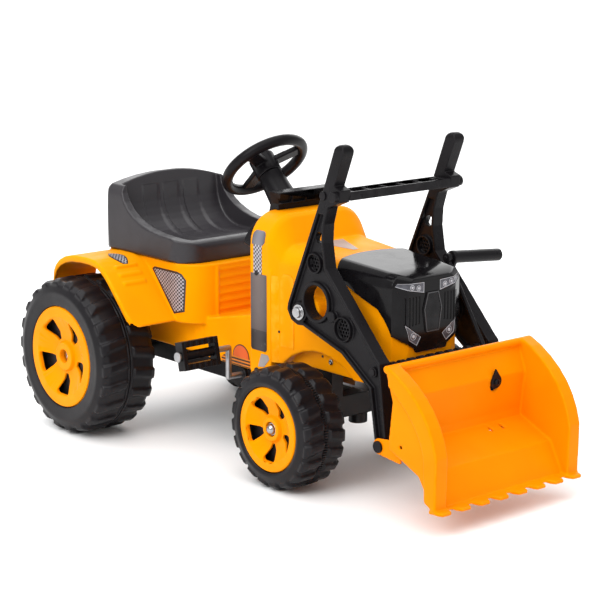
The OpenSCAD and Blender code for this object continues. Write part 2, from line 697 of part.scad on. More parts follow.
// Steering: wheel and column turn together, the column's crank pin works a fork on the tie rod
column_len = 440;
crank_arm = 25;
pin_len = 46;
steer_pin_r = 5;
hub_r = 26;
hub_low_end = 24;
spoke_half = 13;
steer_ring = steer_r - grip_r;
module grip_ring() { rotate_extrude() translate([steer_ring, 0]) circle(grip_r); }
module steering_wheel() { color("#262527") place() column_line() grip_ring(); }
module steering_hub() {
  color("#262527") place() column_line() difference() {
    union() {
      translate([0, 0, -18]) cylinder(h = hub_low_end + 18, r = hub_r);
      translate([0, 0, -24]) cylinder(h = 7, r1 = hub_r - 8, r2 = hub_r - 1);
      for (a = [0, 125, -125]) rotate([0, 0, a])
        translate([0, -spoke_half, -5]) cube([steer_ring, 2 * spoke_half, 10]);
    }
    translate([0, 0, -10]) cylinder(h = 40, r = column_r);
    grip_ring();
  }
}
module steering_column() {
  color("#b9bcc0") place() column_line() {
    translate([0, 0, -10]) cylinder(h = column_len + 10, r = column_r);
    translate([0, -8, column_len - 8]) cube_to(crank_arm, 16, 8);
    translate([crank_arm, 0, column_len - 8]) cylinder(h = pin_len, r = steer_pin_r);
  }
}
module cube_to(l, w, h) {
  cube([l, w, h]);
  translate([l, w / 2, 0]) cylinder(h = h, r = w / 2);
}
bracket_at = 372;
module column_bracket() {
  color("#232224") place() intersection() {
    column_line() difference() {
      translate([-32, -cowl_half, bracket_at]) cube([64, 2 * cowl_half, 12]);
      translate([0, 0, bracket_at - 1]) cylinder(h = 14, r = column_r + run_gap);
    }
    difference() {
      bonnet_form(-wall, bonnet_bottom - 60);
      wheel_wells(wall);
      both() translate([pivot_x, 0, pivot_z]) along_y(boss_r, well_half, arm_in);
    }
  }
}

// Front axle beam, kingpins, knuckles and tie rod
king_y = 100;
king_r = 6;
beam_half = 18;
ear_out = 114;
beam_low = 112;
beam_top = 154;
hub_low = 98;
hub_high = 146;
steer_arm = 47;
arm_low = 130;
arm_high = 139;
link_x = wheelbase - steer_arm;
link_pin = 4;
module front_axle() {
  color("#1f1e20") place() difference() {
    union() {
      slab(wheelbase - beam_half, wheelbase + beam_half, 84, beam_low, beam_top);
      slab(wheelbase - beam_half, wheelbase + beam_half, ear_out, hub_high, beam_top);
      both() slab_side(wheelbase - beam_half, wheelbase + beam_half, 60, 84, hub_low - 12, beam_low);
      both() slab_side(wheelbase - beam_half, wheelbase + beam_half, 60, ear_out, hub_low - 12, hub_low);
      both() slab_side(wheelbase - beam_half, wheelbase + beam_half, 54, well_half - wall, beam_top, 240);
      translate([wheelbase, 0, 92]) cylinder(h = beam_low - 92, r = 18);
    }
    both() translate([wheelbase, king_y, hub_low - 13]) cylinder(h = 80, r = king_r);
    translate([wheelbase, 0, 91]) cylinder(h = 16, r = 12);
    both() slab_side(wheelbase - beam_half + 5, wheelbase + beam_half - 5, 24, 56,
      beam_low - 1, beam_top - 6);
  }
}
module kingpins() {
  color("#a9acb0") place() both() translate([wheelbase, king_y, 0]) {
    translate([0, 0, hub_low - 12]) cylinder(h = beam_top - hub_low + 12, r = king_r);
    translate([0, 0, beam_top]) cylinder(h = 5, r = king_r + 4);
  }
}
module knuckle() {
  difference() {
    union() {
      translate([wheelbase, king_y, hub_low + face_gap])
        cylinder(h = hub_high - hub_low - 2 * face_gap, r = 13);
      translate([wheelbase, 0, front_r]) along_y(14, king_y, front_in - 3);
      translate([link_x, king_y - 7, arm_low]) cube([steer_arm, 14, arm_high - arm_low]);
      translate([link_x, king_y, arm_low]) cylinder(h = arm_high - arm_low, r = 7);
      translate([link_x, king_y, arm_low]) cylinder(h = arm_high - arm_low + 12, r = link_pin);
    }
    translate([wheelbase, king_y, hub_low]) cylinder(h = 60, r = king_r + run_gap);
    translate([wheelbase, 0, front_r]) along_y(axle_r, king_y + king_r + 1, front_in);
  }
}
stub_end = front_in + front_w - hub_end + nut_gap;
// Stub axle with its domed nut
module stub() {
  translate([wheelbase, 0, front_r]) {
    along_y(axle_r, king_y + king_r + 1, stub_end);
    along_y(nut_r, stub_end, stub_end + nut_t);
    intersection() {
      translate([0, stub_end + nut_t, 0]) sphere(nut_r - 2);
      along_y(nut_r - 1, stub_end + nut_t, stub_end + nut_t + nut_r);
    }
  }
}
module knuckle_left() { color("#242325") place() knuckle(); }
module knuckle_right() { color("#242325") place() right() knuckle(); }
module stub_left() { color("#c3c6ca") place() stub(); }
module stub_right() { color("#c3c6ca") place() right() stub(); }
fork_x = steer_c[0] + column_len * cos(column_angle);
tongue_low = beam_top + 7;
module tie_rod() {
  color("#5f6164") place() difference() {
    union() {
      translate([link_x - 8, -king_y, arm_high + face_gap]) cube([16, 2 * king_y, 8]);
      both() translate([link_x, king_y, arm_high + face_gap]) cylinder(h = 8, r = 9);
      translate([link_x - 8, -14, arm_high + face_gap])
        cube([16, 28, tongue_low + 5 - arm_high - face_gap]);
      translate([link_x - 8, -14, tongue_low]) cube([fork_x + 28 - link_x + 8, 28, 5]);
      both() slab_side(fork_x - 16, fork_x + 28, steer_pin_r + fork_gap, 14, tongue_low, tongue_low + 40);
    }
    both() translate([link_x, king_y, arm_high]) cylinder(h = 20, r = link_pin + run_gap);
  }
}
module front_tyre() { front_at() tyre(front_r, front_w, front_bead, front_lugs); }
module front_rim() { front_at() rim(front_w, front_bead, axle_r + run_gap); }
module front_tyre_left() { color("#2b2a2b") place() front_tyre(); }
module front_rim_left() { color("#232224") place() front_rim(); }
module front_cover_left() { color("#f7a512") place() front_at() cover(front_w, front_bead); }
module front_tyre_right() { color("#2b2a2b") place() right() front_tyre(); }
module front_rim_right() { color("#232224") place() right() front_rim(); }
module front_cover_right() { color("#f7a512") place() right() front_at() cover(front_w, front_bead); }

// Loader arms: flanged plates with lightening holes, joined by two cross members
pin_r = 7;
arm_out = arm_in + arm_t;
pivot = [pivot_x, pivot_z];
hinge = [hinge_x, hinge_z];
handle_top = [686, 648];
handle_half = 12.5;
handle_lean = 68;
handle_end = [handle_top[0] - 7, handle_top[1] - handle_half];
arm_outline = concat([[pivot_x - 6, pivot_z - 25], [pivot_x + 10, pivot_z - 24],
  [pivot_x + 116, pivot_z - 57],
  [hinge_x - 33, hinge_z + 97], [hinge_x - 15, hinge_z - 10], [hinge_x - 8, hinge_z - 17],
  [hinge_x + 8, hinge_z - 17], [hinge_x + 14, hinge_z - 8], [hinge_x + 9, hinge_z + 30],
  [hinge_x - 6, hinge_z + 148], [hinge_x - 15, hinge_z + 156], [pivot_x + 74, pivot_z + 92],
  [pivot_x + 66, pivot_z + 138], [pivot_x + 68, pivot_z + 172], [pivot_x + 78, pivot_z + 204],
  [pivot_x + 108, pivot_z + 216], [pivot_x + 112, pivot_z + 238], [pivot_x + 95, pivot_z + 244]],
  arc(handle_end, handle_half, handle_lean - 90, handle_lean + 90, 8),
  [[pivot_x + 64, pivot_z + 232], [pivot_x - 33, pivot_z + 12], [pivot_x - 35, pivot_z],
    [pivot_x - 24, pivot_z - 18]]);
flange = 6;
web_t = 10;
big_hole = [pivot_x + 44, pivot_z + 25];
big_hole_r = 32;
upper_mesh = [pivot_x + 39, pivot_z + 97];
upper_mesh_r = 16;
lower_mesh = [pivot_x + 117, pivot_z - 13];
lower_mesh_r = 20;
oval_hole = [pivot_x + 46, pivot_z + 145];
oval_r = 10;
tie_bar = [hinge_x - 20, hinge_z + 132];
tie_bar_r = 11.5;
crossbar = [pivot_x + 90, pivot_z + 226];
crossbar_half = 21;
tray_pitch = 43;
tray_hole = 13;
lever_pivot = [pivot_x + 87, pivot_z + 5];
lever_pin_r = 5;
module disc(c, r, y0, y1) { translate([c[0], 0, c[1]]) along_y(r, y0, y1); }
// Honeycomb of small holes inside a circle
mesh_hole = 2.5;
module mesh_holes(c, r, y0, y1) {
  step = 7.6;
  for (i = [-3 : 3]) for (j = [-3 : 3]) {
    p = [step * (i + j / 2), step * j * 0.866];
    if (norm(p) < r - 2) disc(c + p, mesh_hole, y0, y1);
  }
}
module arm_bosses(y0, y1) {
  disc(pivot, pin_r + 12, y0, y1);
  disc(big_hole, big_hole_r + flange, y0, y1);
  disc(upper_mesh, upper_mesh_r + 3, y0, y1);
  disc(lower_mesh, lower_mesh_r + 3, y0, y1);
  disc(hinge, pin_r + 6, y0, y1);
  disc(tie_bar - [4, 2], 9, y0, y1);
  disc(lever_pivot, lever_pin_r + 5, y0, y1);
}
module arm_pocket(y0, y1) {
  difference() {
    side(inset(arm_outline, flange), y0, y1);
    arm_bosses(y0 - 1, y1 + 1);
    side([[handle_top[0] - 60, pivot_z + 190], [handle_top[0] + 40, pivot_z + 190],
      [handle_top[0] + 40, handle_top[1]], [handle_top[0] - 60, handle_top[1]]], y0 - 1, y1 + 1);
  }
}
module arm() {
  pocket = (arm_t - web_t) / 2;
  difference() {
    intersection() {
      side(arm_outline, arm_in, arm_out);
      front(0, bucket_front) translate([arm_in + arm_t / 2, 0]) arch(arm_t / 2, 0, handle_top[1], 10);
    }
    arm_pocket(arm_out - pocket, arm_out + 1);
    arm_pocket(arm_in - 1, arm_in + pocket);
    for (m = [[upper_mesh, upper_mesh_r], [lower_mesh, lower_mesh_r]]) {
      disc(m[0], m[1], arm_out - pocket, arm_out + 1);
      disc(m[0], m[1], arm_in - 1, arm_in + pocket);
      mesh_holes(m[0], m[1], arm_in - 1, arm_out + 1);
    }
    disc(big_hole, big_hole_r, arm_in - 1, arm_out + 1);
    disc(oval_hole, oval_r, arm_in - 1, arm_out + 1);
    disc(pivot, pin_r + run_gap, arm_in - 1, arm_out + 1);
    disc(hinge, pin_r + run_gap, arm_in - 1, arm_out + 1);
  }
}
module loader_arm_left() {
  color("#232224") place() difference() {
    arm();
    disc(lever_pivot, lever_pin_r, arm_in - 1, arm_in + 14);
  }
}
module loader_arm_right() { color("#232224") place() right() arm(); }
module arm_crossbar() {
  h = crossbar_half;
  color("#232224") place() translate([crossbar[0], 0, crossbar[1]]) difference() {
    translate([-h, -arm_in, -8]) cube([2 * h, 2 * arm_in, 16]);
    difference() {
      translate([-h + 5, -arm_in + 12, -2]) cube([2 * h - 10, 2 * arm_in - 24, 11]);
      for (i = [-3 : 2]) translate([-h, tray_pitch * (i + 0.5) - 2, -3]) cube([2 * h, 4, 9]);
    }
    for (i = [-2 : 2]) translate([0, tray_pitch * i, -9]) cylinder(h = 18, r = tray_hole);
  }
}
module arm_tie_bar() {
  ribs = 10;
  rib = 2 * arm_in / (2 * ribs + 1);
  color("#1f1e20") place() translate([tie_bar[0], 0, tie_bar[1]]) union() {
    along_y(tie_bar_r - 3, -arm_in, arm_in);
    for (i = [0 : ribs - 1]) along_y(tie_bar_r, -arm_in + (2 * i + 1) * rib, -arm_in + (2 * i + 2) * rib);
  }
}
module arm_screws() {
  color("#3a3a3d") place() both() {
    disc(tie_bar - [4, 2], 7, arm_out, arm_out + 3);
    disc(crossbar + [10, 0], 10, arm_out, arm_out + 9);
    disc(crossbar - [24, 2], 8, arm_out, arm_out + 3);
  }
}
module arm_pivots() {
  color("#c3c6ca") place() both() {
    disc(pivot, pin_r, well_half, arm_out + face_gap);
    disc(pivot, 15, arm_out + face_gap, arm_out + face_gap + 3);
    disc(pivot, 10, arm_out + face_gap + 3, arm_out + face_gap + 9);
  }
}
module lever_pin() {
  color("#a9acb0") place() {
    disc(lever_pivot, lever_pin_r, lever_in - face_gap, arm_in + 14);
    disc(lever_pivot, 9, lever_in - face_gap - 4, lever_in - face_gap);
  }
}
module body_screws() {
  color("#b9bcc0") place() both() {
    translate([cowl_back + 20, 0, leg_bottom + 24]) along_y(6, cowl_half, cowl_half + 3);
    translate([cowl_back + 20, 0, bonnet_top - 60]) along_y(5, cowl_half, cowl_half + 2);
  }
}

// Bucket: bent back and floor between two side plates, with hinge lugs and lip teeth
lip_x = 952;
lip_z = 42;
sheet = 5;
bucket_rear = [[842, 282], [833, 267], [850, 218], [841, 146], [842, 131], [917, 98], [lip_x, lip_z]];
bucket_front_edge = concat([[lip_x + 14, lip_z + 2]],
  bend([lip_x + 16, 140], [lip_x, 222], [lip_x - 84, 270]));
// Inner edge of the stiffening band along a side plate
bucket_band = concat([[lip_x - 14, lip_z + 16]],
  bend([lip_x - 18, 140], [lip_x - 32, 196], [lip_x - 106, 246]));
front_points = len(bucket_front_edge);
band_proud = 7;
side_wall = 22;
wall_skin = 4;
tooth_half = 16;
tooth_t = 7;
top_lip = [840, 275];
top_lip_r = 7;
// Inside of the bucket, open upwards and forwards
bucket_cavity = concat([[848, 320]], [for (i = [1 : 5]) bucket_rear[i] + [6, 6 - 5 / i]],
  [[lip_x + 1, lip_z + sheet], [1010, lip_z + sheet - 1], [1010, 320]]);
link_off = [40, 84];
link_eye = hinge + link_off;
link_r = 4;
lug_in = [56, 90];
lug_t = 6;
tooth_end = bucket_half + band_proud - tooth_half - 1;
tooth_pitch = 2 * tooth_end / (lip_teeth - 1);
module bucket_lug(c, r, y0, y1) {
  disc(c, r, y0, y1);
  side([[c[0], c[1] - r], [852, c[1] - r - 6], [852, c[1] + r + 6], [c[0], c[1] + r]], y0, y1);
}
// Space inside a side wall, with the hole that it was blown through
module bucket_wall_space() {
  side(inset(concat(bucket_rear, bucket_front_edge), wall_skin), bucket_half - side_wall + wall_skin,
    bucket_half - wall_skin);
  disc([bucket_rear[4][0] + 30, bucket_rear[4][1] + 10], blow_r,
    bucket_half - wall_skin - 1, bucket_half + 1);
}
module bucket() {
  color("#f79a0d") place() difference() {
    union() {
      difference() {
        side(concat(bucket_rear, bucket_front_edge), -bucket_half, bucket_half);
        side(bucket_cavity, -bucket_half + side_wall, bucket_half - side_wall);
      }
      both() side(concat([bucket_rear[0]], [for (i = [1 : front_points])
        bucket_front_edge[front_points - i]], bucket_band), bucket_half - 1, bucket_half + band_proud);
      disc(top_lip, top_lip_r, -bucket_half - band_proud, bucket_half + band_proud);
      difference() {
        union() {
          both() for (y = [arm_in - face_gap - lug_t, arm_out + face_gap])
            bucket_lug(hinge, pin_r + 8, y, y + lug_t);
          for (y = lug_in) bucket_lug(link_eye, link_r + 6, y, y + lug_t);
        }
        side(bucket_cavity, -bucket_half + side_wall, bucket_half - side_wall);
      }
      for (i = [0 : lip_teeth - 1])
        translate([0, i * tooth_pitch - tooth_end, lip_z - 1]) linear_extrude(tooth_t)
          polygon([[lip_x - 2, -tooth_half], [bucket_front - 10, -tooth_half + 1],
            [bucket_front, -tooth_half + 6], [bucket_front, tooth_half - 6],
            [bucket_front - 10, tooth_half - 1], [lip_x - 2, tooth_half]]);
    }
    both() bucket_wall_space();
    both() disc(hinge, pin_r, arm_in - 12, arm_out + 12);
    disc(link_eye, link_r + run_gap, 0, 100);
    translate([830, 76, link_eye[1]]) rotate([0, 90, 0]) cylinder(h = 40, r = 10);
    for (y = [56, 86]) translate([854, y, hinge_z - 30]) cube([14, 6, 50]);
  }
}
module hinge_pins() {
  color("#a9acb0") place() both() {
    disc(hinge, pin_r, arm_in - face_gap - lug_t, arm_out + face_gap + lug_t);
    disc(hinge, pin_r + 4, arm_out + face_gap + lug_t, arm_out + face_gap + lug_t + 4);
  }
}

// Tilt lever on the left arm and the rod that carries its swing to the bucket
lever_in = 114;
lever_t = 8;
lever_grip_r = 12;
lever_droop = 5;
lever_eye = lever_pivot + link_off;
rod_y = 104;
module tilt_lever() {
  lean = atan2(link_off[1], link_off[0]);
  plate = concat(arc(lever_eye, 12, lean - 90, lean + 90), arc(lever_pivot, 13, lean + 90, lean + 270));
  color("#2a292b") place() difference() {
    union() {
      side(plate, lever_in, lever_in + lever_t);
      translate([lever_eye[0], lever_in + 1, lever_eye[1]]) rotate([-lever_droop, 0, 0])
        along_y(lever_grip_r, 0, lever_t + lever_grip);
      disc(lever_eye, link_r, rod_y - 6, lever_in + 1);
    }
    disc(lever_pivot, lever_pin_r + run_gap, lever_in - 1, lever_in + lever_t + 1);
  }
}
module tilt_rod() {
  run = link_eye - lever_eye;
  turn = atan2(run[0], run[1]);
  color("#2a292b") place() difference() {
    union() {
      disc(lever_eye, 9, rod_y - 4, rod_y + 4);
      translate([lever_eye[0], rod_y, lever_eye[1]]) rotate([0, turn, 0])
        cylinder(h = norm(run), r = link_r);
      translate([link_eye[0], rod_y, link_eye[1]]) sphere(link_r);
      disc(link_eye, link_r, lug_in[0] - 4, rod_y);
    }
    disc(lever_eye, link_r + run_gap, rod_y - 5, rod_y + 5);
  }
}

body_tub();
bonnet();
seat();
dashboard();
nose_mask();
lamp_lenses();
under_frame();
rear_bearings();
chain_guard();
drive_chain();
front_axle();
kingpins();
column_bracket();
arm_pivots();
body_screws();
rear_axle();
axle_sprocket();
axle_screws();
rear_tyre_right();
rear_rim_right();
rear_cover_right();
rear_tyre_left();
rear_rim_left();
rear_cover_left();
crank_rod();
crank_sprocket();
pedal_right();
pedal_left();
steering_wheel();
steering_hub();
steering_column();
tie_rod();
knuckle_right();
stub_right();
knuckle_left();
stub_left();
front_tyre_right();
front_rim_right();
front_cover_right();
front_tyre_left();
front_rim_left();
front_cover_left();
loader_arm_right();
loader_arm_left();
arm_crossbar();
arm_tie_bar();
arm_screws();
lever_pin();
bucket();
hinge_pins();
tilt_lever();
tilt_rod();
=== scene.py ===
"""Looks for a pedal digger: moulded finishes, printed panels, small fittings and a plain studio."""

import math

import bpy
from mathutils import Matrix, Vector


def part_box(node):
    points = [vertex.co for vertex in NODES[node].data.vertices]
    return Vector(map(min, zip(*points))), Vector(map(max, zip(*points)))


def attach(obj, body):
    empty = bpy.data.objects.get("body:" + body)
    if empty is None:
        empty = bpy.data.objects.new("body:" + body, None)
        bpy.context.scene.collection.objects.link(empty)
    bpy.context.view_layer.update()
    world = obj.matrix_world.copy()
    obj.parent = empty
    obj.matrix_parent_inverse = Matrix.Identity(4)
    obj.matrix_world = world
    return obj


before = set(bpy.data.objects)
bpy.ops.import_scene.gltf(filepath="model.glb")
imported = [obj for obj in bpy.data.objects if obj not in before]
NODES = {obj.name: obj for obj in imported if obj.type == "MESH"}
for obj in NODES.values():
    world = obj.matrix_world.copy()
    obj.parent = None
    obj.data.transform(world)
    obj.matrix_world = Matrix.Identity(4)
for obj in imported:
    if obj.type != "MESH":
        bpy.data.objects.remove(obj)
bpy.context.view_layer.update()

bl_info = {
    "name": "Pedal digger looks",
    "version": (1, 0, 0),
    "blender": (4, 5, 0),
    "location": "3D View > Sidebar > Digger",
    "description": "Finishes and small pieces for a pedal digger with a front loader",
    "category": "3D View",
}

MM = 0.001


def middle(node):
    """Centre of a CAD node's box."""
    low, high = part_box(node)
    return (low + high) / 2


AXLE_X = middle("rear_axle").x


def spot(x, y, z):
    """A place in millimetres from the rear axle, the centre plane and the ground."""
    return Vector((AXLE_X + x * MM, y * MM, z * MM))


# Points closer than this, in metres, are merged
WELD_GAP = 0.00002
# Edges of a new piece that turn more than this stay sharp
CREASE = math.radians(40.0)
# The sides of the digger and the way Y points on each
SIDES = (("right", -1), ("left", 1))

# Which finish each CAD node takes
FINISH = {
    "shell_yellow": ["body_tub", "bonnet"],
    "bucket_yellow": ["bucket"],
    "cover_yellow": ["rear_cover_right", "rear_cover_left", "front_cover_right", "front_cover_left"],
    "mask_gloss": ["nose_mask"],
    "seat_black": ["seat"],
    "tyre_moulded": ["rear_tyre_right", "rear_tyre_left", "front_tyre_right", "front_tyre_left"],
    "rim_black": ["rear_rim_right", "rear_rim_left", "front_rim_right", "front_rim_left"],
    "plain_steel": ["rear_axle", "axle_sprocket", "crank_sprocket", "drive_chain", "crank_rod",
                    "steering_column", "kingpins", "lever_pin", "tie_rod"],
    "bright_steel": ["arm_pivots", "axle_screws", "stub_right", "stub_left"],
    "lamp_smoked": ["lamp_lenses"],
    "trim_black": ["dashboard", "steering_wheel", "steering_hub", "loader_arm_right", "loader_arm_left",
                   "arm_crossbar", "arm_tie_bar", "arm_screws", "hinge_pins", "tilt_lever", "tilt_rod",
                   "pedal_right", "pedal_left"],
    "frame_black": ["body_screws", "under_frame", "rear_bearings", "chain_guard", "front_axle",
                    "column_bracket", "knuckle_right", "knuckle_left"],
}

# Moulded nodes with melted edges: voxel size in mm, smoothing rounds and the share of faces kept
SOFT = {
    "seat": (2.0, 5, 0.4),
    "body_tub": (2.2, 3, 0.35),
    "bonnet": (2.4, 4, 0.4),
    "rear_tyre_right": (2.4, 5, 0.4),
    "rear_tyre_left": (2.4, 5, 0.4),
    "front_tyre_right": (2.0, 5, 0.4),
    "front_tyre_left": (2.0, 5, 0.4),
    "steering_wheel": (1.6, 6, 0.5),
    "steering_hub": (1.4, 5, 0.5),
    "bucket": (1.8, 8, 0.4),
    "loader_arm_right": (1.1, 4, 0.3),
    "loader_arm_left": (1.1, 4, 0.3),
    "tilt_lever": (1.2, 4, 0.3),
}
# Edge rounding of the other nodes, in mm
CRISP = {
    "arm_crossbar": 1.4,
    "arm_tie_bar": 0.8,
    "dashboard": 2.0,
    "nose_mask": 1.0,
    "rear_cover_right": 1.6,
    "rear_cover_left": 1.6,
    "front_cover_right": 1.4,
    "front_cover_left": 1.4,
    "pedal_right": 1.0,
    "pedal_left": 1.0,
    "arm_pivots": 1.2,
    "arm_screws": 1.2,
    "under_frame": 1.0,
    "front_axle": 1.2,
    "hinge_pins": 1.0,
    "stub_right": 0.8,
    "stub_left": 0.8,
}
CRISP_ELSE = 0.6
# Edges that turn more than this are rounded, and faces flatter than this are joined first
ROUND_ANGLE = math.radians(32.0)
FLAT_ANGLE = math.radians(1.0)


# Shader helpers
def rgba(colour):
    """A colour with full opacity."""
    return (*colour, 1.0)


def scaled(colour, share):
    """A colour made lighter or darker, kept below white."""
    return tuple(min(1.0, part * share) for part in colour)


def fill(tree, socket, value):
    """Links a socket to another one, or sets its value."""
    if isinstance(value, bpy.types.NodeSocket):
        tree.links.new(value, socket)
    else:
        socket.default_value = value


def node(tree, kind, inputs=None, **settings):
    """Adds a shader node, sets its options, and fills or links its inputs."""
    made = tree.nodes.new(kind)
    for name, value in settings.items():
        setattr(made, name, value)
    for name, value in (inputs or {}).items():
        fill(tree, made.inputs[name], value)
    return made


def start_material(name):
    """An empty material with its shader; returns material, tree, shader and the object coordinates."""
    made = bpy.data.materials.new(name)
    made.use_nodes = True
    tree = made.node_tree
    tree.nodes.clear()
    shader = node(tree, "ShaderNodeBsdfPrincipled")
    output = node(tree, "ShaderNodeOutputMaterial")
    tree.links.new(shader.outputs["BSDF"], output.inputs["Surface"])
    where = node(tree, "ShaderNodeTexCoord").outputs["Object"]
    return made, tree, shader, where


def noise(tree, where, scale, detail=3.0, rough=0.5):
    """A noise value between 0 and 1."""
    made = node(tree, "ShaderNodeTexNoise",
                {"Vector": where, "Scale": scale, "Detail": detail, "Roughness": rough})
    return made.outputs["Fac"]


def spread(tree, value, low, high, to_low=0.0, to_high=1.0):
    """Stretches low to high over to_low to to_high, clamped."""
    made = node(tree, "ShaderNodeMapRange",
                {"Value": value, "From Min": low, "From Max": high, "To Min": to_low, "To Max": to_high})
    return made.outputs["Result"]


def blend(tree, share, first, second):
    """Mixes two colours."""
    made = node(tree, "ShaderNodeMix", data_type="RGBA")
    for index, value in ((0, share), (6, first), (7, second)):
        fill(tree, made.inputs[index], value)
    return made.outputs[2]


def times(tree, first, second, operation="MULTIPLY"):
    """A number from two others."""
    made = node(tree, "ShaderNodeMath", operation=operation)
    for index, value in enumerate((first, second)):
        fill(tree, made.inputs[index], value)
    return made.outputs[0]


def parts_of(tree, where):
    """The three coordinates of a place, in metres."""
    return node(tree, "ShaderNodeSeparateXYZ", {"Vector": where}).outputs


def ripple(tree, value, pitch):
    """A wave between -1 and 1 that repeats every pitch metres."""
    made = node(tree, "ShaderNodeMath", operation="SINE")
    tree.links.new(times(tree, value, 2 * math.pi / pitch), made.inputs[0])
    return made.outputs[0]


def emboss(tree, shader, height, strength, distance):
    """Bumps a shader's surface by a height; the distance is in metres."""
    bump = node(tree, "ShaderNodeBump", {"Height": height, "Strength": strength, "Distance": distance})
    tree.links.new(bump.outputs["Normal"], shader.inputs["Normal"])


# Materials
def gloss_tint(colour):
    """The colour a moulded surface lends to its gloss: white on black plastic, warm on yellow."""
    brightest = max(colour)
    return (1.0, 1.0, 1.0) if brightest < 0.2 else tuple(part / brightest for part in colour)


def moulded(name, colour, deep, edge_highlight, rough, grain, depth, gloss=0.5):
    """Moulded plastic: cloudy tint, fine grain, uneven gloss and a painted highlight on its convex edges."""
    made, tree, shader, where = start_material(name)
    cloud = spread(tree, noise(tree, where, scale=7.0, detail=4.0), low=0.35, high=0.68)
    tint = blend(tree, cloud, rgba(colour), rgba(deep))
    # Painted highlight: convex edges are painted paler, in patches broken up by noise
    edge = spread(tree, node(tree, "ShaderNodeNewGeometry").outputs["Pointiness"], low=0.515, high=0.60)
    highlight_patches = spread(tree, noise(tree, where, scale=45.0, detail=5.0), low=0.42, high=0.72, to_high=0.55)
    fill(tree, shader.inputs["Base Color"], blend(tree, times(tree, edge, highlight_patches), tint, rgba(edge_highlight)))
    patch = noise(tree, where, scale=28.0, detail=5.0, rough=0.6)
    fill(tree, shader.inputs["Roughness"], spread(tree, patch, 0.3, 0.75, rough - 0.07, rough + 0.09))
    fine = noise(tree, where, grain, detail=2.0)
    wave = times(tree, noise(tree, where, scale=24.0, detail=2.0), 2.0)
    emboss(tree, shader, times(tree, fine, wave, "ADD"), depth, distance=0.0006)
    shader.inputs["Specular IOR Level"].default_value = gloss
    shader.inputs["Specular Tint"].default_value = rgba(gloss_tint(colour))
    return made


def metal(name, colour, rough):
    """Bare steel with fine drawn lines and dull patches."""
    made, tree, shader, where = start_material(name)
    drawn = node(tree, "ShaderNodeMapping", {"Vector": where, "Scale": (900.0, 60.0, 900.0)})
    lines = noise(tree, drawn.outputs["Vector"], scale=1.0)
    dull = noise(tree, where, scale=60.0, detail=4.0)
    tone = blend(tree, spread(tree, dull, low=0.3, high=0.75), rgba(colour), rgba(scaled(colour, 0.72)))
    fill(tree, shader.inputs["Base Color"], tone)
    both = times(tree, lines, dull, "ADD")
    fill(tree, shader.inputs["Roughness"], spread(tree, both, 0.6, 1.4, rough - 0.08, rough + 0.14))
    emboss(tree, shader, lines, strength=0.12, distance=0.0002)
    shader.inputs["Metallic"].default_value = 1.0
    return made


def smoked_lens(name, colour):
    """Smoked lamp plastic with moulded flutes under a smooth skin."""
    made, tree, shader, where = start_material(name)
    flutes = node(tree, "ShaderNodeTexWave", {"Vector": where, "Scale": 90.0, "Distortion": 0.4},
                  bands_direction="Y").outputs["Fac"]
    haze = spread(tree, noise(tree, where, scale=70.0), low=0.3, high=0.7)
    fill(tree, shader.inputs["Base Color"], blend(tree, haze, rgba(colour), rgba(scaled(colour, 2.2))))
    fill(tree, shader.inputs["Roughness"], spread(tree, haze, 0.0, 1.0, 0.06, 0.14))
    emboss(tree, shader, flutes, strength=0.3, distance=0.0004)
    shader.inputs["Specular IOR Level"].default_value = 0.3
    return made


LABEL_ROUGH = 0.36
LABEL_FILM = 0.06
SCUFF_GREY = (0.5, 0.48, 0.46)


def printed(name, tone):
    """A printed label: its tone, light scuffs and a smooth film on top."""
    made, tree, shader, where = start_material(name)
    colour, relief = tone(tree, where)
    scuff = spread(tree, noise(tree, where, scale=90.0, detail=6.0, rough=0.65), 0.62, 0.8, to_high=0.25)
    fill(tree, shader.inputs["Base Color"], blend(tree, scuff, colour, rgba(SCUFF_GREY)))
    patch = noise(tree, where, scale=40.0, detail=4.0)
    fill(tree, shader.inputs["Roughness"],
         spread(tree, patch, 0.3, 0.7, LABEL_ROUGH - 0.06, LABEL_ROUGH + 0.08))
    emboss(tree, shader, relief, strength=0.35, distance=0.0004)
    shader.inputs["Coat Weight"].default_value = LABEL_FILM
    shader.inputs["Coat Roughness"].default_value = 0.1
    return made


def round_tube(back, front, dark, light):
    """Tone of a printed tube: a light middle between darker edges, in mm from the rear axle."""
    def tone(tree, where):
        along = parts_of(tree, where)["X"]
        across = spread(tree, along, AXLE_X + back * MM, AXLE_X + front * MM, -1.0, 1.0)
        share = spread(tree, times(tree, across, across), 0.0, 1.0, 1.0, 0.0)
        grain = noise(tree, where, scale=220.0)
        return blend(tree, share, rgba(dark), rgba(light)), grain
    return tone


def punched(paper, hole, pitch, rows, cross="Z"):
    """Tone of a punched sheet: staggered dark dots on a pale sheet, with both spacings in mm."""
    def tone(tree, where):
        place = parts_of(tree, where)
        first = ripple(tree, place["X"], pitch * MM)
        second = ripple(tree, place[cross], rows * MM)
        dot = spread(tree, times(tree, first, second), low=-0.12, high=0.12)
        cloud = spread(tree, noise(tree, where, scale=30.0), low=0.3, high=0.7)
        sheet = blend(tree, cloud, rgba(paper), rgba(scaled(paper, 0.72)))
        return blend(tree, dot, sheet, rgba(hole)), dot
    return tone


def striped(first, second, pitch):
    """Tone of level printed stripes that repeat every pitch mm."""
    def tone(tree, where):
        wave = ripple(tree, parts_of(tree, where)["Z"], pitch * MM)
        share = spread(tree, wave, low=-0.08, high=0.08)
        return blend(tree, share, rgba(first), rgba(second)), share
    return tone


def plain(colour):
    """Tone of a plain print with a faint cloud in it."""
    def tone(tree, where):
        cloud = spread(tree, noise(tree, where, scale=26.0), low=0.3, high=0.7)
        grain = noise(tree, where, scale=300.0, detail=2.0)
        return blend(tree, cloud, rgba(colour), rgba(scaled(colour, 0.82))), grain
    return tone


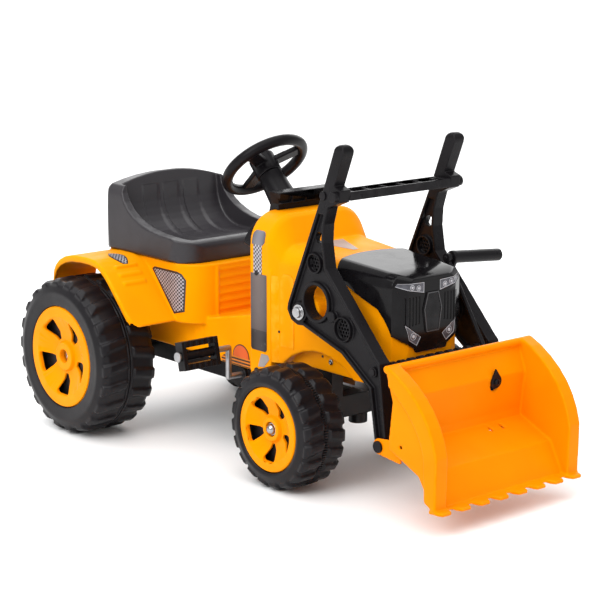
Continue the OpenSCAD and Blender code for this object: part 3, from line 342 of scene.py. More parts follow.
def colour_prop(label, colour):
    """A colour that a user may change."""
    return bpy.props.FloatVectorProperty(name=label, description=f"Colour of the {label.lower()}", size=3,
                                         subtype="COLOR", default=colour, min=0.0, max=1.0)


class DiggerColours(bpy.types.PropertyGroup):
    """Colours of the digger's finishes."""

    shell: colour_prop("Body shell", (0.90, 0.315, 0.0006))
    bucket: colour_prop("Bucket", (0.88, 0.25, 0.0004))
    cover: colour_prop("Wheel covers", (0.90, 0.285, 0.0006))
    black: colour_prop("Black plastic", (0.0075, 0.0066, 0.0078))
    tyre: colour_prop("Tyres", (0.0085, 0.0072, 0.009))
    steel: colour_prop("Steel parts", (0.56, 0.56, 0.57))
    floor: colour_prop("Floor", (0.93, 0.93, 0.93))


class DiggerSizes(bpy.types.PropertyGroup):
    """Camera lens and strengths of the studio lights."""

    lens: bpy.props.FloatProperty(
        name="Lens", description="Focal length of the camera",
        default=116.64, min=20.0, max=300.0, unit="CAMERA")
    key_power: bpy.props.FloatProperty(
        name="Key light", description="Power of the large soft light",
        default=60.0, min=0.0, max=2000.0, unit="POWER")
    back_power: bpy.props.FloatProperty(
        name="Back light", description="Power of the wide panel behind the digger",
        default=52.0, min=0.0, max=2000.0, unit="POWER")
    top_power: bpy.props.FloatProperty(
        name="Top light", description="Strength of the wide light overhead",
        default=2.2, min=0.0, max=20.0)
    sky: bpy.props.FloatProperty(
        name="Surround", description="Light that the white surround gives",
        default=0.72, min=0.0, max=3.0, subtype="FACTOR")


def finishes():
    """Makes every finish once and returns them by name."""
    shade = bpy.context.scene.digger_colours
    names = ("shell", "bucket", "cover", "black", "tyre", "steel")
    shell, bucket, cover, black, tyre, steel = (tuple(getattr(shade, name)) for name in names)
    yellow = {"grain": 520.0, "depth": 0.10, "gloss": 0.09}
    # In each moulded finish, the colour after the deep one is painted on convex edges as a painted highlight
    made = (
        moulded("shell_yellow", shell, (shell[0] * 0.93, shell[1] * 0.86, shell[2]),
                edge_highlight=(1.0, 0.48, 0.05), rough=0.42, **yellow),
        moulded("bucket_yellow", bucket, (bucket[0] * 0.95, bucket[1] * 0.88, bucket[2]),
                edge_highlight=(1.0, 0.44, 0.04), rough=0.40, **yellow),
        moulded("cover_yellow", cover, (cover[0] * 0.95, cover[1] * 0.90, cover[2]),
                edge_highlight=(1.0, 0.55, 0.06), rough=0.40, **yellow),
        moulded("mask_gloss", scaled(black, 0.6), scaled(black, 0.45),
                edge_highlight=(0.05, 0.05, 0.055), rough=0.14, grain=300.0, depth=0.04, gloss=0.15),
        moulded("seat_black", scaled(black, 3.2), scaled(black, 2.4),
                edge_highlight=(0.07, 0.065, 0.068), rough=0.36, grain=900.0, depth=0.16, gloss=0.42),
        moulded("tyre_moulded", tyre, scaled(tyre, 0.7),
                edge_highlight=(0.04, 0.039, 0.04), rough=0.36, grain=700.0, depth=0.20, gloss=0.2),
        moulded("rim_black", scaled(black, 0.8), scaled(black, 0.5),
                edge_highlight=(0.05, 0.05, 0.05), rough=0.5, grain=500.0, depth=0.2),
        moulded("trim_black", black, scaled(black, 0.7),
                edge_highlight=(0.05, 0.048, 0.05), rough=0.30, grain=800.0, depth=0.10, gloss=0.11),
        moulded("frame_black", scaled(black, 0.8), scaled(black, 0.5),
                edge_highlight=(0.04, 0.039, 0.04), rough=0.44, grain=600.0, depth=0.2, gloss=0.3),
        metal("plain_steel", scaled(steel, 0.75), rough=0.38),
        metal("bright_steel", scaled(steel, 0.8), rough=0.2),
        smoked_lens("lamp_smoked", (0.05, 0.05, 0.058)),
    )
    return {material.name: material for material in made}


def free():
    """Object mode with nothing selected."""
    if bpy.context.object and bpy.context.object.mode != "OBJECT":
        bpy.ops.object.mode_set(mode="OBJECT")
    bpy.ops.object.select_all(action="DESELECT")


class DIGGER_OT_finish_nodes(bpy.types.Operator):
    """Gives every CAD node its finish and rounds its edges"""

    bl_idname = "digger.finish_nodes"
    bl_label = "Finish the moulded and metal parts"

    def execute(self, context):
        free()
        made = finishes()
        for finish, names in FINISH.items():
            for name in names:
                mesh = NODES[name].data
                mesh.materials.clear()
                mesh.materials.append(made[finish])
        bare = [name for name in NODES if not any(name in names for names in FINISH.values())]
        if bare:
            raise RuntimeError(f"no finish for {bare}")
        for name in NODES:
            if name in SOFT:
                self.soften(NODES[name], *SOFT[name])
            else:
                self.round_edges(NODES[name], CRISP.get(name, CRISP_ELSE))
        return {"FINISHED"}

    def soften(self, part, voxel, rounds, kept):
        """Melts a node's edges together as blow moulding does."""
        part.modifiers.new("weld", "WELD").merge_threshold = WELD_GAP
        skin = part.modifiers.new("skin", "REMESH")
        skin.mode = "VOXEL"
        skin.voxel_size = voxel * MM
        skin.use_smooth_shade = True
        melt = part.modifiers.new("melt", "SMOOTH")
        melt.factor = 0.5
        melt.iterations = rounds
        thin = part.modifiers.new("thin", "DECIMATE")
        thin.ratio = kept

    def round_edges(self, part, width):
        """Breaks a node's sharp edges by a small round."""
        part.modifiers.new("weld", "WELD").merge_threshold = WELD_GAP
        flat = part.modifiers.new("flat", "DECIMATE")
        flat.decimate_type = "DISSOLVE"
        flat.angle_limit = FLAT_ANGLE
        edge = part.modifiers.new("edge", "BEVEL")
        edge.limit_method = "ANGLE"
        edge.angle_limit = ROUND_ANGLE
        edge.width = width * MM
        edge.segments = 3
        edge.use_clamp_overlap = False
        part.modifiers.new("close", "WELD").merge_threshold = WELD_GAP
        part.modifiers.new("even", "WEIGHTED_NORMAL").keep_sharp = False


# Modelling helpers
def cut_sheet(name, corners, cell):
    """A flat sheet cut from a grid along the lines between its corners, listed counter-clockwise in mm."""
    free()
    wide = [corner[0] for corner in corners]
    tall = [corner[1] for corner in corners]
    across, along = max(wide) - min(wide), max(tall) - min(tall)
    bpy.ops.mesh.primitive_grid_add(x_subdivisions=max(2, round(across / cell)),
                                    y_subdivisions=max(2, round(along / cell)), size=1.0)
    piece = bpy.context.object
    piece.name = name
    spare = 1.01
    bpy.ops.object.mode_set(mode="EDIT")
    bpy.ops.mesh.select_all(action="SELECT")
    bpy.ops.transform.resize(value=(spare * across * MM, spare * along * MM, 1.0))
    bpy.ops.transform.translate(
        value=((max(wide) + min(wide)) / 2 * MM, (max(tall) + min(tall)) / 2 * MM, 0.0))
    for here, there in zip(corners, corners[1:] + corners[:1]):
        bpy.ops.mesh.select_all(action="SELECT")
        out = Vector((there[1] - here[1], here[0] - there[0], 0.0)).normalized()
        bpy.ops.mesh.bisect(plane_co=(here[0] * MM, here[1] * MM, 0.0), plane_no=out,
                            clear_outer=True, threshold=1e-6)
    bpy.ops.object.mode_set(mode="OBJECT")
    if len(piece.data.polygons) < 4:
        raise RuntimeError(f"{name} was cut away")
    return piece


def corner_arc(centre, radius, start, end, steps=5):
    """Points on an arc, in degrees."""
    turns = [math.radians(start + (end - start) * i / steps) for i in range(steps + 1)]
    return [(centre[0] + radius * math.cos(t), centre[1] + radius * math.sin(t)) for t in turns]


def leaf(centre, long, wide, steps=10):
    """Points round a leaf with two pointed ends, counter-clockwise."""
    bow = [(-1.0 + 2.0 * i / steps) for i in range(steps)]
    lower = [(centre[0] + long * t, centre[1] - wide * (1.0 - t * t)) for t in bow]
    upper = [(centre[0] - long * t, centre[1] + wide * (1.0 - t * t)) for t in bow]
    return lower + upper


# Where a flat sheet is laid: its first axis, its second axis and the way it faces
FACES = {
    "right": (Vector((1, 0, 0)), Vector((0, 0, 1)), Vector((0, -1, 0))),
    "left": (Vector((1, 0, 0)), Vector((0, 0, 1)), Vector((0, 1, 0))),
    "up": (Vector((1, 0, 0)), Vector((0, 1, 0)), Vector((0, 0, 1))),
    "front": (Vector((0, 1, 0)), Vector((0, 0, 1)), Vector((1, 0, 0))),
}
# How far a sheet may travel to meet its node, in metres
REACH = 0.05
# Thickness of printed labels and of vent panels, in mm
LABEL_THICK = 0.4
VENT_THICK = 0.5


def thicken(piece, thick, offset):
    """Gives the active piece a wall, in mm."""
    wall = piece.modifiers.new("wall", "SOLIDIFY")
    wall.thickness = thick * MM
    wall.offset = offset
    bpy.ops.object.modifier_apply(modifier="wall")


def lay(piece, face, target, depth, thick, lift=0.3):
    """Lays a sheet against a CAD node from about its depth and gives it its thickness, all in mm."""
    first, second, out = FACES[face]
    turn = Matrix((first, second, out)).transposed().to_4x4()
    piece.data.transform(Matrix.Translation(spot(0.0, 0.0, 0.0) + out * depth * MM) @ turn)
    free()
    piece.select_set(True)
    bpy.context.view_layer.objects.active = piece
    if first.cross(second).dot(out) < 0:
        bpy.ops.object.mode_set(mode="EDIT")
        bpy.ops.mesh.select_all(action="SELECT")
        bpy.ops.mesh.flip_normals()
        bpy.ops.object.mode_set(mode="OBJECT")
    press = piece.modifiers.new("press", "SHRINKWRAP")
    press.target = NODES[target]
    press.wrap_method = "PROJECT"
    press.use_project_x, press.use_project_y, press.use_project_z = (abs(part) > 0.5 for part in out)
    press.use_negative_direction = True
    press.use_positive_direction = True
    press.project_limit = REACH
    press.wrap_mode = "OUTSIDE_SURFACE"
    press.offset = lift * MM
    bpy.ops.object.modifier_apply(modifier="press")
    thicken(piece, thick, offset=1.0)
    bpy.ops.object.shade_smooth_by_angle(angle=CREASE)
    return piece


def dress(piece, material, body):
    """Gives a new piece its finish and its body."""
    piece.data.materials.clear()
    piece.data.materials.append(material)
    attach(piece, body)


# Outlines on the digger's sides, in mm forwards of the rear axle and above the ground
SILENCER_BACK, SILENCER_FRONT = 393.0, 440.0
ELBOW_BACK, ELBOW_FRONT = 396.0, 434.0
EXHAUST = {
    "silencer": [(SILENCER_BACK, 262), (SILENCER_FRONT, 262), (SILENCER_FRONT, 372), (SILENCER_BACK, 372)],
    "silencer_end": [(SILENCER_BACK, 226), (SILENCER_BACK + 4, 222), (SILENCER_FRONT - 4, 222),
                     (SILENCER_FRONT, 226), (SILENCER_FRONT, 262), (SILENCER_BACK, 262)],
    "pipe": [(401, 372), (426, 372), (426, 428), (401, 428)],
    "elbow": [(397, 428), (428, 428), (434, 434), *corner_arc((424, 445), 10, 0, 90, 4),
              *corner_arc((407, 445), 10, 90, 180, 4)],
}
SIDE_VENT_BORDER = [(104, 339), (176, 257), (203, 264), (207, 328), (198, 340), (186, 344), (112, 344)]
SIDE_VENT_MESH = [(111, 338), (179, 261), (200, 267), (204, 327), (196, 337), (185, 340), (114, 340)]
ENGINE_BARS = [(281, 174), (371, 174), (371, 192), (296, 192), (281, 184)]
ENGINE_CROWN, CROWN_RADIUS = (343, 192), 24
HOOD_PANEL = [(474, 240), (508, 240), (508, 372), (500, 380), (482, 380), (474, 372)]
PENNANT = [(414, 190), (432, 192), (448, 210), (443, 217), (424, 217)]
# Outlines seen from above, in mm forwards of the rear axle and from the centre plane
# The pale wedge on the bonnet's top is a painted reflection
BONNET_REFLECTION = [(486, -32), (560, -6), (560, 6), (486, 32)]
FENDER_VENT_X, FENDER_VENT_Y = 52, 190
FENDER_VENT_LONG, FENDER_VENT_WIDE = 30, 13


class DIGGER_OT_exhaust_prints(bpy.types.Operator):
    """Prints a pipe and a silencer on each side of the cowl"""

    bl_idname = "digger.exhaust_prints"
    bl_label = "Exhaust prints"

    def execute(self, context):
        tones = {
            "silencer": printed("print_silencer", round_tube(
                SILENCER_BACK, SILENCER_FRONT, dark=(0.055, 0.045, 0.045), light=(0.115, 0.09, 0.085))),
            "silencer_end": printed("print_silencer_end", round_tube(
                SILENCER_BACK, SILENCER_FRONT, dark=(0.012, 0.01, 0.01), light=(0.06, 0.05, 0.05))),
            "pipe": printed("print_pipe", punched(
                paper=(0.52, 0.50, 0.55), hole=(0.03, 0.03, 0.035), pitch=9.0, rows=8.0)),
            "elbow": printed("print_elbow", round_tube(
                ELBOW_BACK, ELBOW_FRONT, dark=(0.06, 0.06, 0.07), light=(0.17, 0.165, 0.19))),
        }
        for face, _ in SIDES:
            for name, corners in EXHAUST.items():
                piece = cut_sheet(f"exhaust_{name}_{face}", corners, cell=6.0)
                lay(piece, face, "bonnet", depth=150.0, thick=LABEL_THICK)
                dress(piece, tones[name], "chassis")
        return {"FINISHED"}


class DIGGER_OT_vent_panels(bpy.types.Operator):
    """Lays punched vent panels with dark borders on the pedestal and the fenders"""

    bl_idname = "digger.vent_panels"
    bl_label = "Vent panels"

    def execute(self, context):
        sheet = {"paper": (0.42, 0.40, 0.44), "hole": (0.012, 0.011, 0.013), "pitch": 9.0, "rows": 7.6}
        border = printed("print_border", plain((0.016, 0.015, 0.017)))
        upright = printed("print_mesh", punched(**sheet))
        level = printed("print_grid", punched(**sheet, cross="Y"))
        for face, sign in SIDES:
            for name, corners, tone, lift in (("border", SIDE_VENT_BORDER, border, 0.3),
                                              ("mesh", SIDE_VENT_MESH, upright, 0.8)):
                piece = cut_sheet(f"side_vent_{name}_{face}", corners, cell=6.0)
                lay(piece, face, "body_tub", depth=170.0, thick=VENT_THICK, lift=lift)
                dress(piece, tone, "chassis")
            for name, grow, tone, lift in (("border", 3.0, border, 0.3), ("mesh", 0.0, level, 0.8)):
                corners = leaf((FENDER_VENT_X, sign * FENDER_VENT_Y),
                               FENDER_VENT_LONG + grow, FENDER_VENT_WIDE + grow)
                piece = cut_sheet(f"fender_vent_{name}_{face}", corners, cell=4.0)
                lay(piece, "up", "body_tub", depth=380.0, thick=VENT_THICK, lift=lift)
                dress(piece, tone, "chassis")
        return {"FINISHED"}


class DIGGER_OT_stripe_prints(bpy.types.Operator):
    """Sets the engine labels, the hood's side panels, the cowl's pennants and a pale wedge on the bonnet's
    top that is a painted reflection
    """

    bl_idname = "digger.stripe_prints"
    bl_label = "Stripe prints"

    def execute(self, context):
        bars = printed("print_bars", striped((0.70, 0.20, 0.01), (0.035, 0.02, 0.015), pitch=6.4))
        crown = printed("print_crown", plain((0.80, 0.13, 0.02)))
        rim = printed("print_rim", plain((0.03, 0.02, 0.018)))
        # One pale grey serves the cowl's printed pennants and the painted reflection on the bonnet's top
        wedge = printed("print_wedge", plain((0.33, 0.29, 0.28)))
        for face, _ in SIDES:
            piece = cut_sheet(f"engine_bars_{face}", ENGINE_BARS, cell=6.0)
            lay(piece, face, "body_tub", depth=130.0, thick=LABEL_THICK)
            dress(piece, bars, "chassis")
            for name, grow, tone, lift in (("rim", 2.0, rim, 0.3), ("crown", 0.0, crown, 0.7)):
                half_disc = corner_arc(ENGINE_CROWN, CROWN_RADIUS + grow, 0, 180, 12)
                piece = cut_sheet(f"engine_{name}_{face}", half_disc, cell=5.0)
                lay(piece, face, "body_tub", depth=130.0, thick=LABEL_THICK, lift=lift)
                dress(piece, tone, "chassis")
            piece = cut_sheet(f"hood_panel_{face}", HOOD_PANEL, cell=8.0)
            lay(piece, face, "bonnet", depth=140.0, thick=1.2, lift=0.1)
            dress(piece, bpy.data.materials["shell_yellow"], "chassis")
            piece = cut_sheet(f"cowl_pennant_{face}", PENNANT, cell=5.0)
            lay(piece, face, "bonnet", depth=140.0, thick=LABEL_THICK)
            dress(piece, wedge, "chassis")
        # Painted reflection: a pale wedge on the bonnet's top
        piece = cut_sheet("bonnet_wedge", BONNET_REFLECTION, cell=5.0)
        lay(piece, "up", "bonnet", depth=460.0, thick=LABEL_THICK)
        dress(piece, wedge, "chassis")
        return {"FINISHED"}


# The joint beside each leg of the cowl, in mm: back and front, low and high, from the centre plane,
# and how far its front edge leans inwards
JOINT_BACK, JOINT_FRONT = 446.0, 468.0
JOINT_LOW, JOINT_HIGH = 206.0, 374.0
JOINT_SIDE = 117.6
JOINT_LEAN = 5.4


class DIGGER_OT_cowl_joints(bpy.types.Operator):
    """Closes the narrow joint between the cowl's legs and the sides of the hood"""

    bl_idname = "digger.cowl_joints"
    bl_label = "Cowl joints"

    def execute(self, context):
        yellow = bpy.data.materials["shell_yellow"]
        centre_x, centre_z = (JOINT_BACK + JOINT_FRONT) / 2, (JOINT_LOW + JOINT_HIGH) / 2
        for side, sign in SIDES:
            free()
            bpy.ops.mesh.primitive_grid_add(x_subdivisions=2, y_subdivisions=8, size=1.0)
            piece = context.object
            piece.name = f"cowl_joint_{side}"
            bpy.ops.object.mode_set(mode="EDIT")
            bpy.ops.mesh.select_all(action="SELECT")
            bpy.ops.transform.resize(
                value=((JOINT_FRONT - JOINT_BACK) * MM, (JOINT_HIGH - JOINT_LOW) * MM, 1.0))
            bpy.ops.transform.rotate(value=math.pi / 2, orient_axis="X", center_override=(0.0, 0.0, 0.0))
            bpy.ops.transform.translate(value=spot(centre_x, sign * JOINT_SIDE, centre_z))
            bpy.ops.mesh.select_mode(type="VERT")
            bpy.ops.mesh.select_all(action="DESELECT")
            bpy.ops.object.mode_set(mode="OBJECT")
            for place in piece.data.vertices:
                place.select = place.co.x > spot(JOINT_FRONT - 2, 0, 0).x
            bpy.ops.object.mode_set(mode="EDIT")
            bpy.ops.transform.translate(value=(0.0, -sign * JOINT_LEAN * MM, 0.0))
            bpy.ops.object.mode_set(mode="OBJECT")
            thicken(piece, thick=2.0, offset=0.0)
            bpy.ops.object.shade_smooth_by_angle(angle=CREASE)
            dress(piece, yellow, "chassis")
        return {"FINISHED"}


# Helpers for small fittings
def land(target, start, way):
    """Where a straight line first meets a CAD node, and the way the surface faces there."""
    hit, place, normal, _ = NODES[target].ray_cast(start, way)
    if not hit:
        raise RuntimeError(f"nothing of {target} at {tuple(start)}")
    return place, normal


def close_up():
    """Merges the doubled points of the active piece and turns its faces outward."""
    bpy.ops.object.mode_set(mode="EDIT")
    bpy.ops.mesh.select_all(action="SELECT")
    bpy.ops.mesh.remove_doubles(threshold=WELD_GAP)
    bpy.ops.mesh.normals_make_consistent(inside=False)
    bpy.ops.object.mode_set(mode="OBJECT")


def bevelled(piece, width, angle):
    """Rounds the active piece's sharp edges, in mm and degrees."""
    soft = piece.modifiers.new("soft", "BEVEL")
    soft.width = width * MM
    soft.segments = 2
    soft.angle_limit = math.radians(angle)
    bpy.ops.object.modifier_apply(modifier="soft")
    close_up()


def pick_top(piece, height):
    """Selects the faces of the mesh in edit mode that lie flat at a height."""
    bpy.ops.mesh.select_all(action="DESELECT")
    bpy.ops.object.mode_set(mode="OBJECT")
    for face in piece.data.polygons:
        face.select = abs(face.center.z + piece.location.z - height) < 1e-5 and face.normal.z > 0.9
    bpy.ops.object.mode_set(mode="EDIT")


def stud(name, radius, tall, recess):
    """A round head with a domed edge and a recess, standing on the ground plane, in mm."""
    free()
    bpy.ops.mesh.primitive_cylinder_add(vertices=20, radius=radius * MM, depth=tall * MM,
                                        location=(0, 0, tall / 2 * MM))
    piece = bpy.context.object
    piece.name = name
    bpy.ops.object.mode_set(mode="EDIT")
    bpy.ops.mesh.select_mode(type="FACE")
    pick_top(piece, tall * MM)
    bpy.ops.mesh.inset(thickness=0.35 * radius * MM)
    bpy.ops.transform.translate(value=(0.0, 0.0, 0.12 * radius * MM))
    bpy.ops.mesh.inset(thickness=0.25 * radius * MM)
    bpy.ops.mesh.extrude_region_move(TRANSFORM_OT_translate={"value": (0.0, 0.0, -recess * MM)})
    bpy.ops.object.mode_set(mode="OBJECT")
    bevelled(piece, width=0.12 * radius, angle=35.0)
    bpy.ops.object.transform_apply(location=True, rotation=True, scale=True)
    bpy.ops.object.shade_smooth_by_angle(angle=math.radians(50.0))
    return piece


def stand(piece, place, normal):
    """Moves a piece from the ground plane to a place on a surface, inside its mesh."""
    turn = normal.to_track_quat("Z", "Y").to_matrix().to_4x4()
    piece.data.transform(Matrix.Translation(place) @ turn)


def twin(piece, name):
    """A copy of a piece with a mesh of its own."""
    free()
    piece.select_set(True)
    bpy.context.view_layer.objects.active = piece
    bpy.ops.object.duplicate()
    made = bpy.context.object
    made.name = name
    return made


# Clear of the bonnet's side and of the nose, in mm, where a line towards them starts
BESIDE = 200
AHEAD = 900
# Bonnet fasteners: mm forwards of the rear axle and above the ground, radius and height in mm,
# finish and slot
FASTENERS = (
    ("side_screw", 591, 227, 5.5, 3.0, "bright_steel", "steel"),
    ("plug_low", 566, 233, 2.6, 0.8, "frame_black", "black_plastic"),
    ("plug_mid", 469, 267, 2.6, 0.8, "frame_black", "black_plastic"),
    ("plug_high", 490, 367, 2.6, 0.8, "frame_black", "black_plastic"),
)


class DIGGER_OT_screws(bpy.types.Operator):
    """Sets domed screws and dark plugs into the sides of the bonnet"""

    bl_idname = "digger.screws"
    bl_label = "Bonnet screws"

    def execute(self, context):
        for name, x, z, radius, tall, finish, slot in FASTENERS:
            model = stud(f"{name}_right", radius, tall, 0.35 * tall)
            # The copy is made before the model is moved
            for side, sign in reversed(SIDES):
                piece = model if side == "right" else twin(model, f"{name}_left")
                place, normal = land("bonnet", spot(x, sign * BESIDE, z), Vector((0, -sign, 0)))
                stand(piece, place, normal)
                dress(piece, bpy.data.materials[finish], "chassis")
        return {"FINISHED"}


# In front of the latch on the bucket's back wall, and how far beside it the wall is felt for, in mm
LATCH_X, LATCH_Y, LATCH_Z = 960.0, 76.0, 214.0
LATCH_ASIDE = 20.0
# The drop-shaped plate round its pin, in mm
LATCH_PLATE = [(-4, 25), *corner_arc((0, 0), 12.5, 170, 390, 14)]


class DIGGER_OT_bucket_latch(bpy.types.Operator):
    """Sets the black latch plate and its pin on the back wall of the bucket"""

    bl_idname = "digger.bucket_latch"
    bl_label = "Bucket latch"

    def execute(self, context):
        black = bpy.data.materials["trim_black"]
        place, normal = land("bucket", spot(LATCH_X, LATCH_Y - LATCH_ASIDE, LATCH_Z), Vector((-1, 0, 0)))
        place.y = LATCH_Y * MM
        plate = cut_sheet("bucket_latch", LATCH_PLATE, cell=5.0)
        thicken(plate, thick=4.0, offset=1.0)
        bevelled(plate, width=1.2, angle=40.0)
        bpy.ops.object.shade_smooth_by_angle(angle=CREASE)
        pin = stud("bucket_latch_pin", radius=6.0, tall=7.0, recess=2.0)
        for piece in (plate, pin):
            stand(piece, place, normal)
            dress(piece, black, "bucket")
        return {"FINISHED"}


# Lamp rings: mm from the centre plane and above the ground, and radius in mm
RINGS = (("head_inner", 33, 387.5, 4.6), ("head_outer", 49, 390.5, 4.6), ("fog", 45, 300, 6.5))
RING_WIRE = 0.5
# The panel in the middle of the nose: mm from the centre plane and above the ground
NOSE_PANEL = [(-15.4, 304.6), (15.4, 304.6), (22.2, 347), (13.4, 377.4), (-13.4, 377.4), (-22.2, 347)]


class DIGGER_OT_lamp_trims(bpy.types.Operator):
    """Sets pale rims, rings and bulbs on the lamps and a border round the nose's centre panel"""

    bl_idname = "digger.lamp_trims"
    bl_label = "Lamp rims and rings"

    def execute(self, context):
        pale = printed("lamp_silver", plain((0.52, 0.52, 0.55)))
        self.rims(pale)
        self.frame()
        for name, y, z, radius in RINGS:
            model = self.ring(f"{name}_left", radius)
            # The copy is made before the model is moved
            for side, sign in SIDES:
                piece = model if side == "left" else twin(model, f"{name}_right")
                place, normal = land("lamp_lenses", spot(AHEAD, sign * y, z), Vector((-1, 0, 0)))
                stand(piece, place, normal)
                dress(piece, pale, "chassis")
        return {"FINISHED"}

    def rims(self, finish):
        """A raised border round the front of every lens."""
        free()
        bpy.ops.mesh.primitive_plane_add(size=1.0)
        piece = bpy.context.object
        piece.name = "lamp_rims"
        piece.data = NODES["lamp_lenses"].data.copy()
        bpy.ops.object.mode_set(mode="EDIT")
        bpy.ops.mesh.select_mode(type="FACE")
        bpy.ops.mesh.select_all(action="SELECT")
        bpy.ops.mesh.remove_doubles(threshold=WELD_GAP)
        bpy.ops.object.mode_set(mode="OBJECT")
        for face in piece.data.polygons:
            face.select = face.normal.x < 0.4
        bpy.ops.object.mode_set(mode="EDIT")
        bpy.ops.mesh.delete(type="FACE")
        self.keep_border(width=0.8)
        thicken(piece, thick=0.7, offset=1.0)
        if len(piece.data.polygons) < 24:
            raise RuntimeError("the lamp rims were cut away")
        dress(piece, finish, "chassis")

    def frame(self):
        """A raised border round the tall panel in the middle of the nose, paler than the mask as a painted
        highlight along the panel's edge.
        """
        piece = cut_sheet("nose_frame", NOSE_PANEL, cell=4.0)
        bpy.ops.object.mode_set(mode="EDIT")
        bpy.ops.mesh.select_mode(type="FACE")
        self.keep_border(width=1.8)
        lay(piece, "front", "nose_mask", depth=770.0, thick=0.9, lift=0.1)
        # The border's pale tone is a painted highlight
        dress(piece, printed("mask_edge", plain((0.035, 0.034, 0.037))), "chassis")

    def keep_border(self, width):
        """Leaves a border of the sheet in edit mode, in mm, and deletes the rest."""
        bpy.ops.mesh.select_all(action="SELECT")
        bpy.ops.mesh.inset(thickness=width * MM, use_boundary=True)
        bpy.ops.mesh.delete(type="FACE")
        bpy.ops.object.mode_set(mode="OBJECT")

    def ring(self, name, radius):
        """A thin ring round a small bulb, lying on the ground plane, in mm."""
        free()
        bpy.ops.mesh.primitive_circle_add(vertices=8, radius=RING_WIRE * MM, rotation=(math.pi / 2, 0.0, 0.0))
        piece = bpy.context.object
        piece.name = name
        bpy.ops.object.transform_apply(location=True, rotation=True, scale=True)
        bpy.ops.object.mode_set(mode="EDIT")
        bpy.ops.mesh.select_all(action="SELECT")
        bpy.ops.transform.translate(value=(radius * MM, 0.0, 0.3 * RING_WIRE * MM))
        bpy.ops.mesh.spin(steps=28, angle=2 * math.pi, center=(0, 0, 0), axis=(0, 0, 1))
        close_up()
        bpy.ops.object.shade_smooth()
        bulb = stud("bulb", 0.5 * radius, tall=0.9, recess=0.2)
        free()
        bulb.select_set(True)
        piece.select_set(True)
        bpy.context.view_layer.objects.active = piece
        bpy.ops.object.join()
        return piece


# Tyres, their bodies and the ribs round their middle; a tyre without ribs has two ridges
TYRES = (
    ("front_tyre_right", "front_wheel_right", 132),
    ("front_tyre_left", "front_wheel_left", 132),
    ("rear_tyre_right", "rear_axle", 0),
    ("rear_tyre_left", "rear_wheel_left", 0),
)
# How far the seam's groove lies below the tread, in mm
SEAM_BELOW = 6.0
# A rib round the tyre, across it and outwards, and how far it sits below the groove's edge, in mm
RIB = (2.6, 9.0, 5.0)
RIB_SUNK = 1.2
# Radius of a ridge, the space between the two and how far they sit below the groove's edge, in mm
RIDGE_RADIUS = 2.4
RIDGE_APART = 6.8
RIDGE_SUNK = 0.6


class DIGGER_OT_tyre_seams(bpy.types.Operator):
    """Runs the moulding seam round the middle of each tyre: ribs in front, two ridges at the back"""

    bl_idname = "digger.tyre_seams"
    bl_label = "Tyre seams"

    def execute(self, context):
        rubber = bpy.data.materials["tyre_moulded"]
        for node_name, body, ribs in TYRES:
            low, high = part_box(node_name)
            hub = (low + high) / 2
            crown = (high.z - low.z) / 2 - SEAM_BELOW * MM
            piece = self.ribbed(hub, crown, ribs) if ribs else self.ridged(hub, crown)
            piece.name = f"{node_name}_seam"
            dress(piece, rubber, body)
        return {"FINISHED"}

    def ribbed(self, hub, crown, ribs):
        """Small ribs side by side in the groove."""
        free()
        bpy.ops.mesh.primitive_cube_add(size=1.0)
        piece = bpy.context.object
        bpy.ops.object.mode_set(mode="EDIT")
        bpy.ops.mesh.select_all(action="SELECT")
        bpy.ops.transform.resize(value=[side * MM for side in RIB])
        bpy.ops.mesh.bevel(offset=0.5 * MM, segments=1)
        bpy.ops.mesh.select_all(action="SELECT")
        bpy.ops.transform.translate(value=hub + Vector((0.0, 0.0, crown - RIB_SUNK * MM)))
        bpy.ops.mesh.spin(steps=ribs - 1, dupli=True, angle=2 * math.pi * (ribs - 1) / ribs,
                          center=hub, axis=(0, 1, 0))
        bpy.ops.object.mode_set(mode="OBJECT")
        return piece

    def ridged(self, hub, crown):
        """Two smooth ridges with a groove between them."""
        free()
        bpy.ops.mesh.primitive_circle_add(vertices=8, radius=RIDGE_RADIUS * MM,
                                          rotation=(0.0, math.pi / 2, 0.0))
        piece = bpy.context.object
        bpy.ops.object.transform_apply(location=True, rotation=True, scale=True)
        bpy.ops.object.mode_set(mode="EDIT")
        bpy.ops.mesh.select_all(action="SELECT")
        bpy.ops.transform.translate(value=hub + Vector((0.0, -RIDGE_APART / 2 * MM, crown - RIDGE_SUNK * MM)))
        bpy.ops.mesh.duplicate_move(TRANSFORM_OT_translate={"value": (0.0, RIDGE_APART * MM, 0.0)})
        bpy.ops.mesh.select_all(action="SELECT")
        bpy.ops.mesh.spin(steps=96, angle=2 * math.pi, center=hub, axis=(0, 1, 0))
        close_up()
        bpy.ops.object.shade_smooth()
        return piece


# Studio: the floor's side in metres, and the camera's place in metres and its turn and rise in degrees
FLOOR_SIDE = 90.0
EYE_PLACE = (2.8207, -2.4164, 1.1036)
EYE_TURN, EYE_RISE = 49.55, 12.16
# How wide the sky that the top light stands for looks from the ground
TOP_SPREAD = math.radians(75.0)


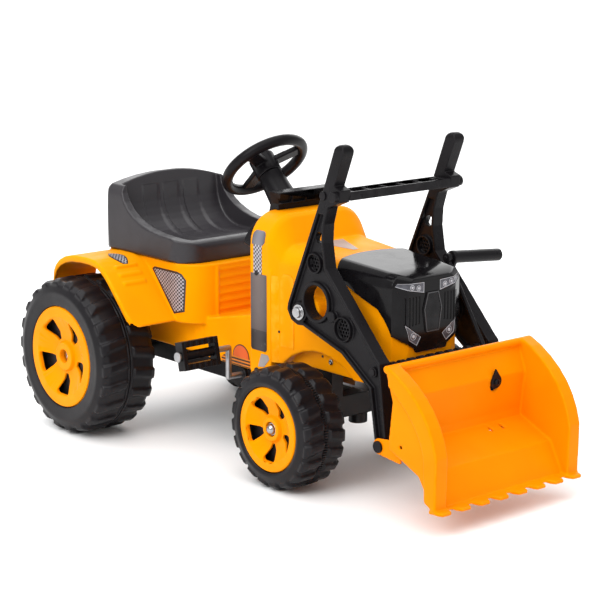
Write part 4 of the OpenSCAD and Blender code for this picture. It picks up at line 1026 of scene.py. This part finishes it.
class DIGGER_OT_stage(bpy.types.Operator):
    """Sets up the pale floor, the soft lights and the camera"""

    bl_idname = "digger.stage"
    bl_label = "Floor, lights and camera"

    def execute(self, context):
        sizes = context.scene.digger_sizes
        self.lay_floor(context, context.scene.digger_colours.floor)
        world = bpy.data.worlds.new("white_surround")
        world.use_nodes = True
        sky = world.node_tree.nodes["Background"]
        sky.inputs["Color"].default_value = (1.0, 1.0, 1.0, 1.0)
        sky.inputs["Strength"].default_value = sizes.sky
        context.scene.world = world
        for name, kind, place, power, wide, tall in (
                ("key_light", "AREA", Vector((0.6, -3.0, 2.3)), sizes.key_power, 2.0, 2.0),
                ("back_light", "AREA", Vector((-2.2, 2.2, 2.1)), sizes.back_power, 4.6, 2.2),
                ("top_light", "SUN", Vector((0.4, -0.7, 3.6)), sizes.top_power, 0.0, 0.0)):
            free()
            bpy.ops.object.light_add(type=kind, location=place)
            lamp = context.object
            lamp.name = name
            lamp.data.energy = power
            lamp.rotation_euler = (-place).to_track_quat("-Z", "Y").to_euler()
            if kind == "AREA":
                lamp.data.shape = "RECTANGLE"
                lamp.data.size = wide
                lamp.data.size_y = tall
            else:
                lamp.data.angle = TOP_SPREAD
        self.set_camera(context, sizes.lens)
        context.scene.view_settings.view_transform = "Standard"
        return {"FINISHED"}

    def lay_floor(self, context, colour):
        """A wide pale floor with a faint cloud in it."""
        free()
        bpy.ops.mesh.primitive_plane_add(size=1.0)
        floor = context.object
        floor.name = "studio_floor"
        bpy.ops.object.mode_set(mode="EDIT")
        bpy.ops.transform.resize(value=(FLOOR_SIDE, FLOOR_SIDE, 1.0))
        bpy.ops.object.mode_set(mode="OBJECT")
        made, tree, shader, where = start_material("pale_floor")
        cloud = spread(tree, noise(tree, where, scale=0.6, detail=2.0), low=0.3, high=0.7)
        fill(tree, shader.inputs["Base Color"], blend(tree, cloud, rgba(colour), rgba(scaled(colour, 0.985))))
        shader.inputs["Roughness"].default_value = 0.55
        shader.inputs["Specular IOR Level"].default_value = 0.2
        floor.data.materials.append(made)

    def set_camera(self, context, lens):
        """A camera at the photograph's angle."""
        free()
        bpy.ops.object.camera_add(location=EYE_PLACE)
        eye = context.object
        eye.name = "photo_view"
        turn, rise = math.radians(EYE_TURN), math.radians(EYE_RISE)
        back = Vector((math.sin(turn) * math.cos(rise), -math.cos(turn) * math.cos(rise), math.sin(rise)))
        eye.rotation_euler = (-back).to_track_quat("-Z", "Y").to_euler()
        eye.data.lens = lens
        eye.data.sensor_width = 36.0
        eye.data.clip_end = 200.0
        context.scene.camera = eye


class DIGGER_PT_panel(bpy.types.Panel):
    """Lists the digger's steps, sizes and colours"""

    bl_idname = "DIGGER_PT_panel"
    bl_label = "Pedal digger"
    bl_space_type = "VIEW_3D"
    bl_region_type = "UI"
    bl_category = "Digger"

    def draw(self, context):
        for step in STEPS:
            self.layout.operator(step.bl_idname)
        for group in (context.scene.digger_sizes, context.scene.digger_colours):
            for name in group.__annotations__:
                self.layout.prop(group, name)


STEPS = (
    DIGGER_OT_finish_nodes,
    DIGGER_OT_exhaust_prints,
    DIGGER_OT_vent_panels,
    DIGGER_OT_stripe_prints,
    DIGGER_OT_cowl_joints,
    DIGGER_OT_screws,
    DIGGER_OT_bucket_latch,
    DIGGER_OT_lamp_trims,
    DIGGER_OT_tyre_seams,
    DIGGER_OT_stage,
)
CLASSES = (DiggerColours, DiggerSizes, *STEPS, DIGGER_PT_panel)


def register():
    for kind in CLASSES:
        bpy.utils.register_class(kind)
    bpy.types.Scene.digger_colours = bpy.props.PointerProperty(type=DiggerColours)
    bpy.types.Scene.digger_sizes = bpy.props.PointerProperty(type=DiggerSizes)


def unregister():
    del bpy.types.Scene.digger_sizes
    del bpy.types.Scene.digger_colours
    for kind in reversed(CLASSES):
        bpy.utils.unregister_class(kind)


def main():
    register()
    for step in STEPS:
        group, name = step.bl_idname.split(".")
        getattr(getattr(bpy.ops, group), name)()


if __name__ == "__main__":
    main()
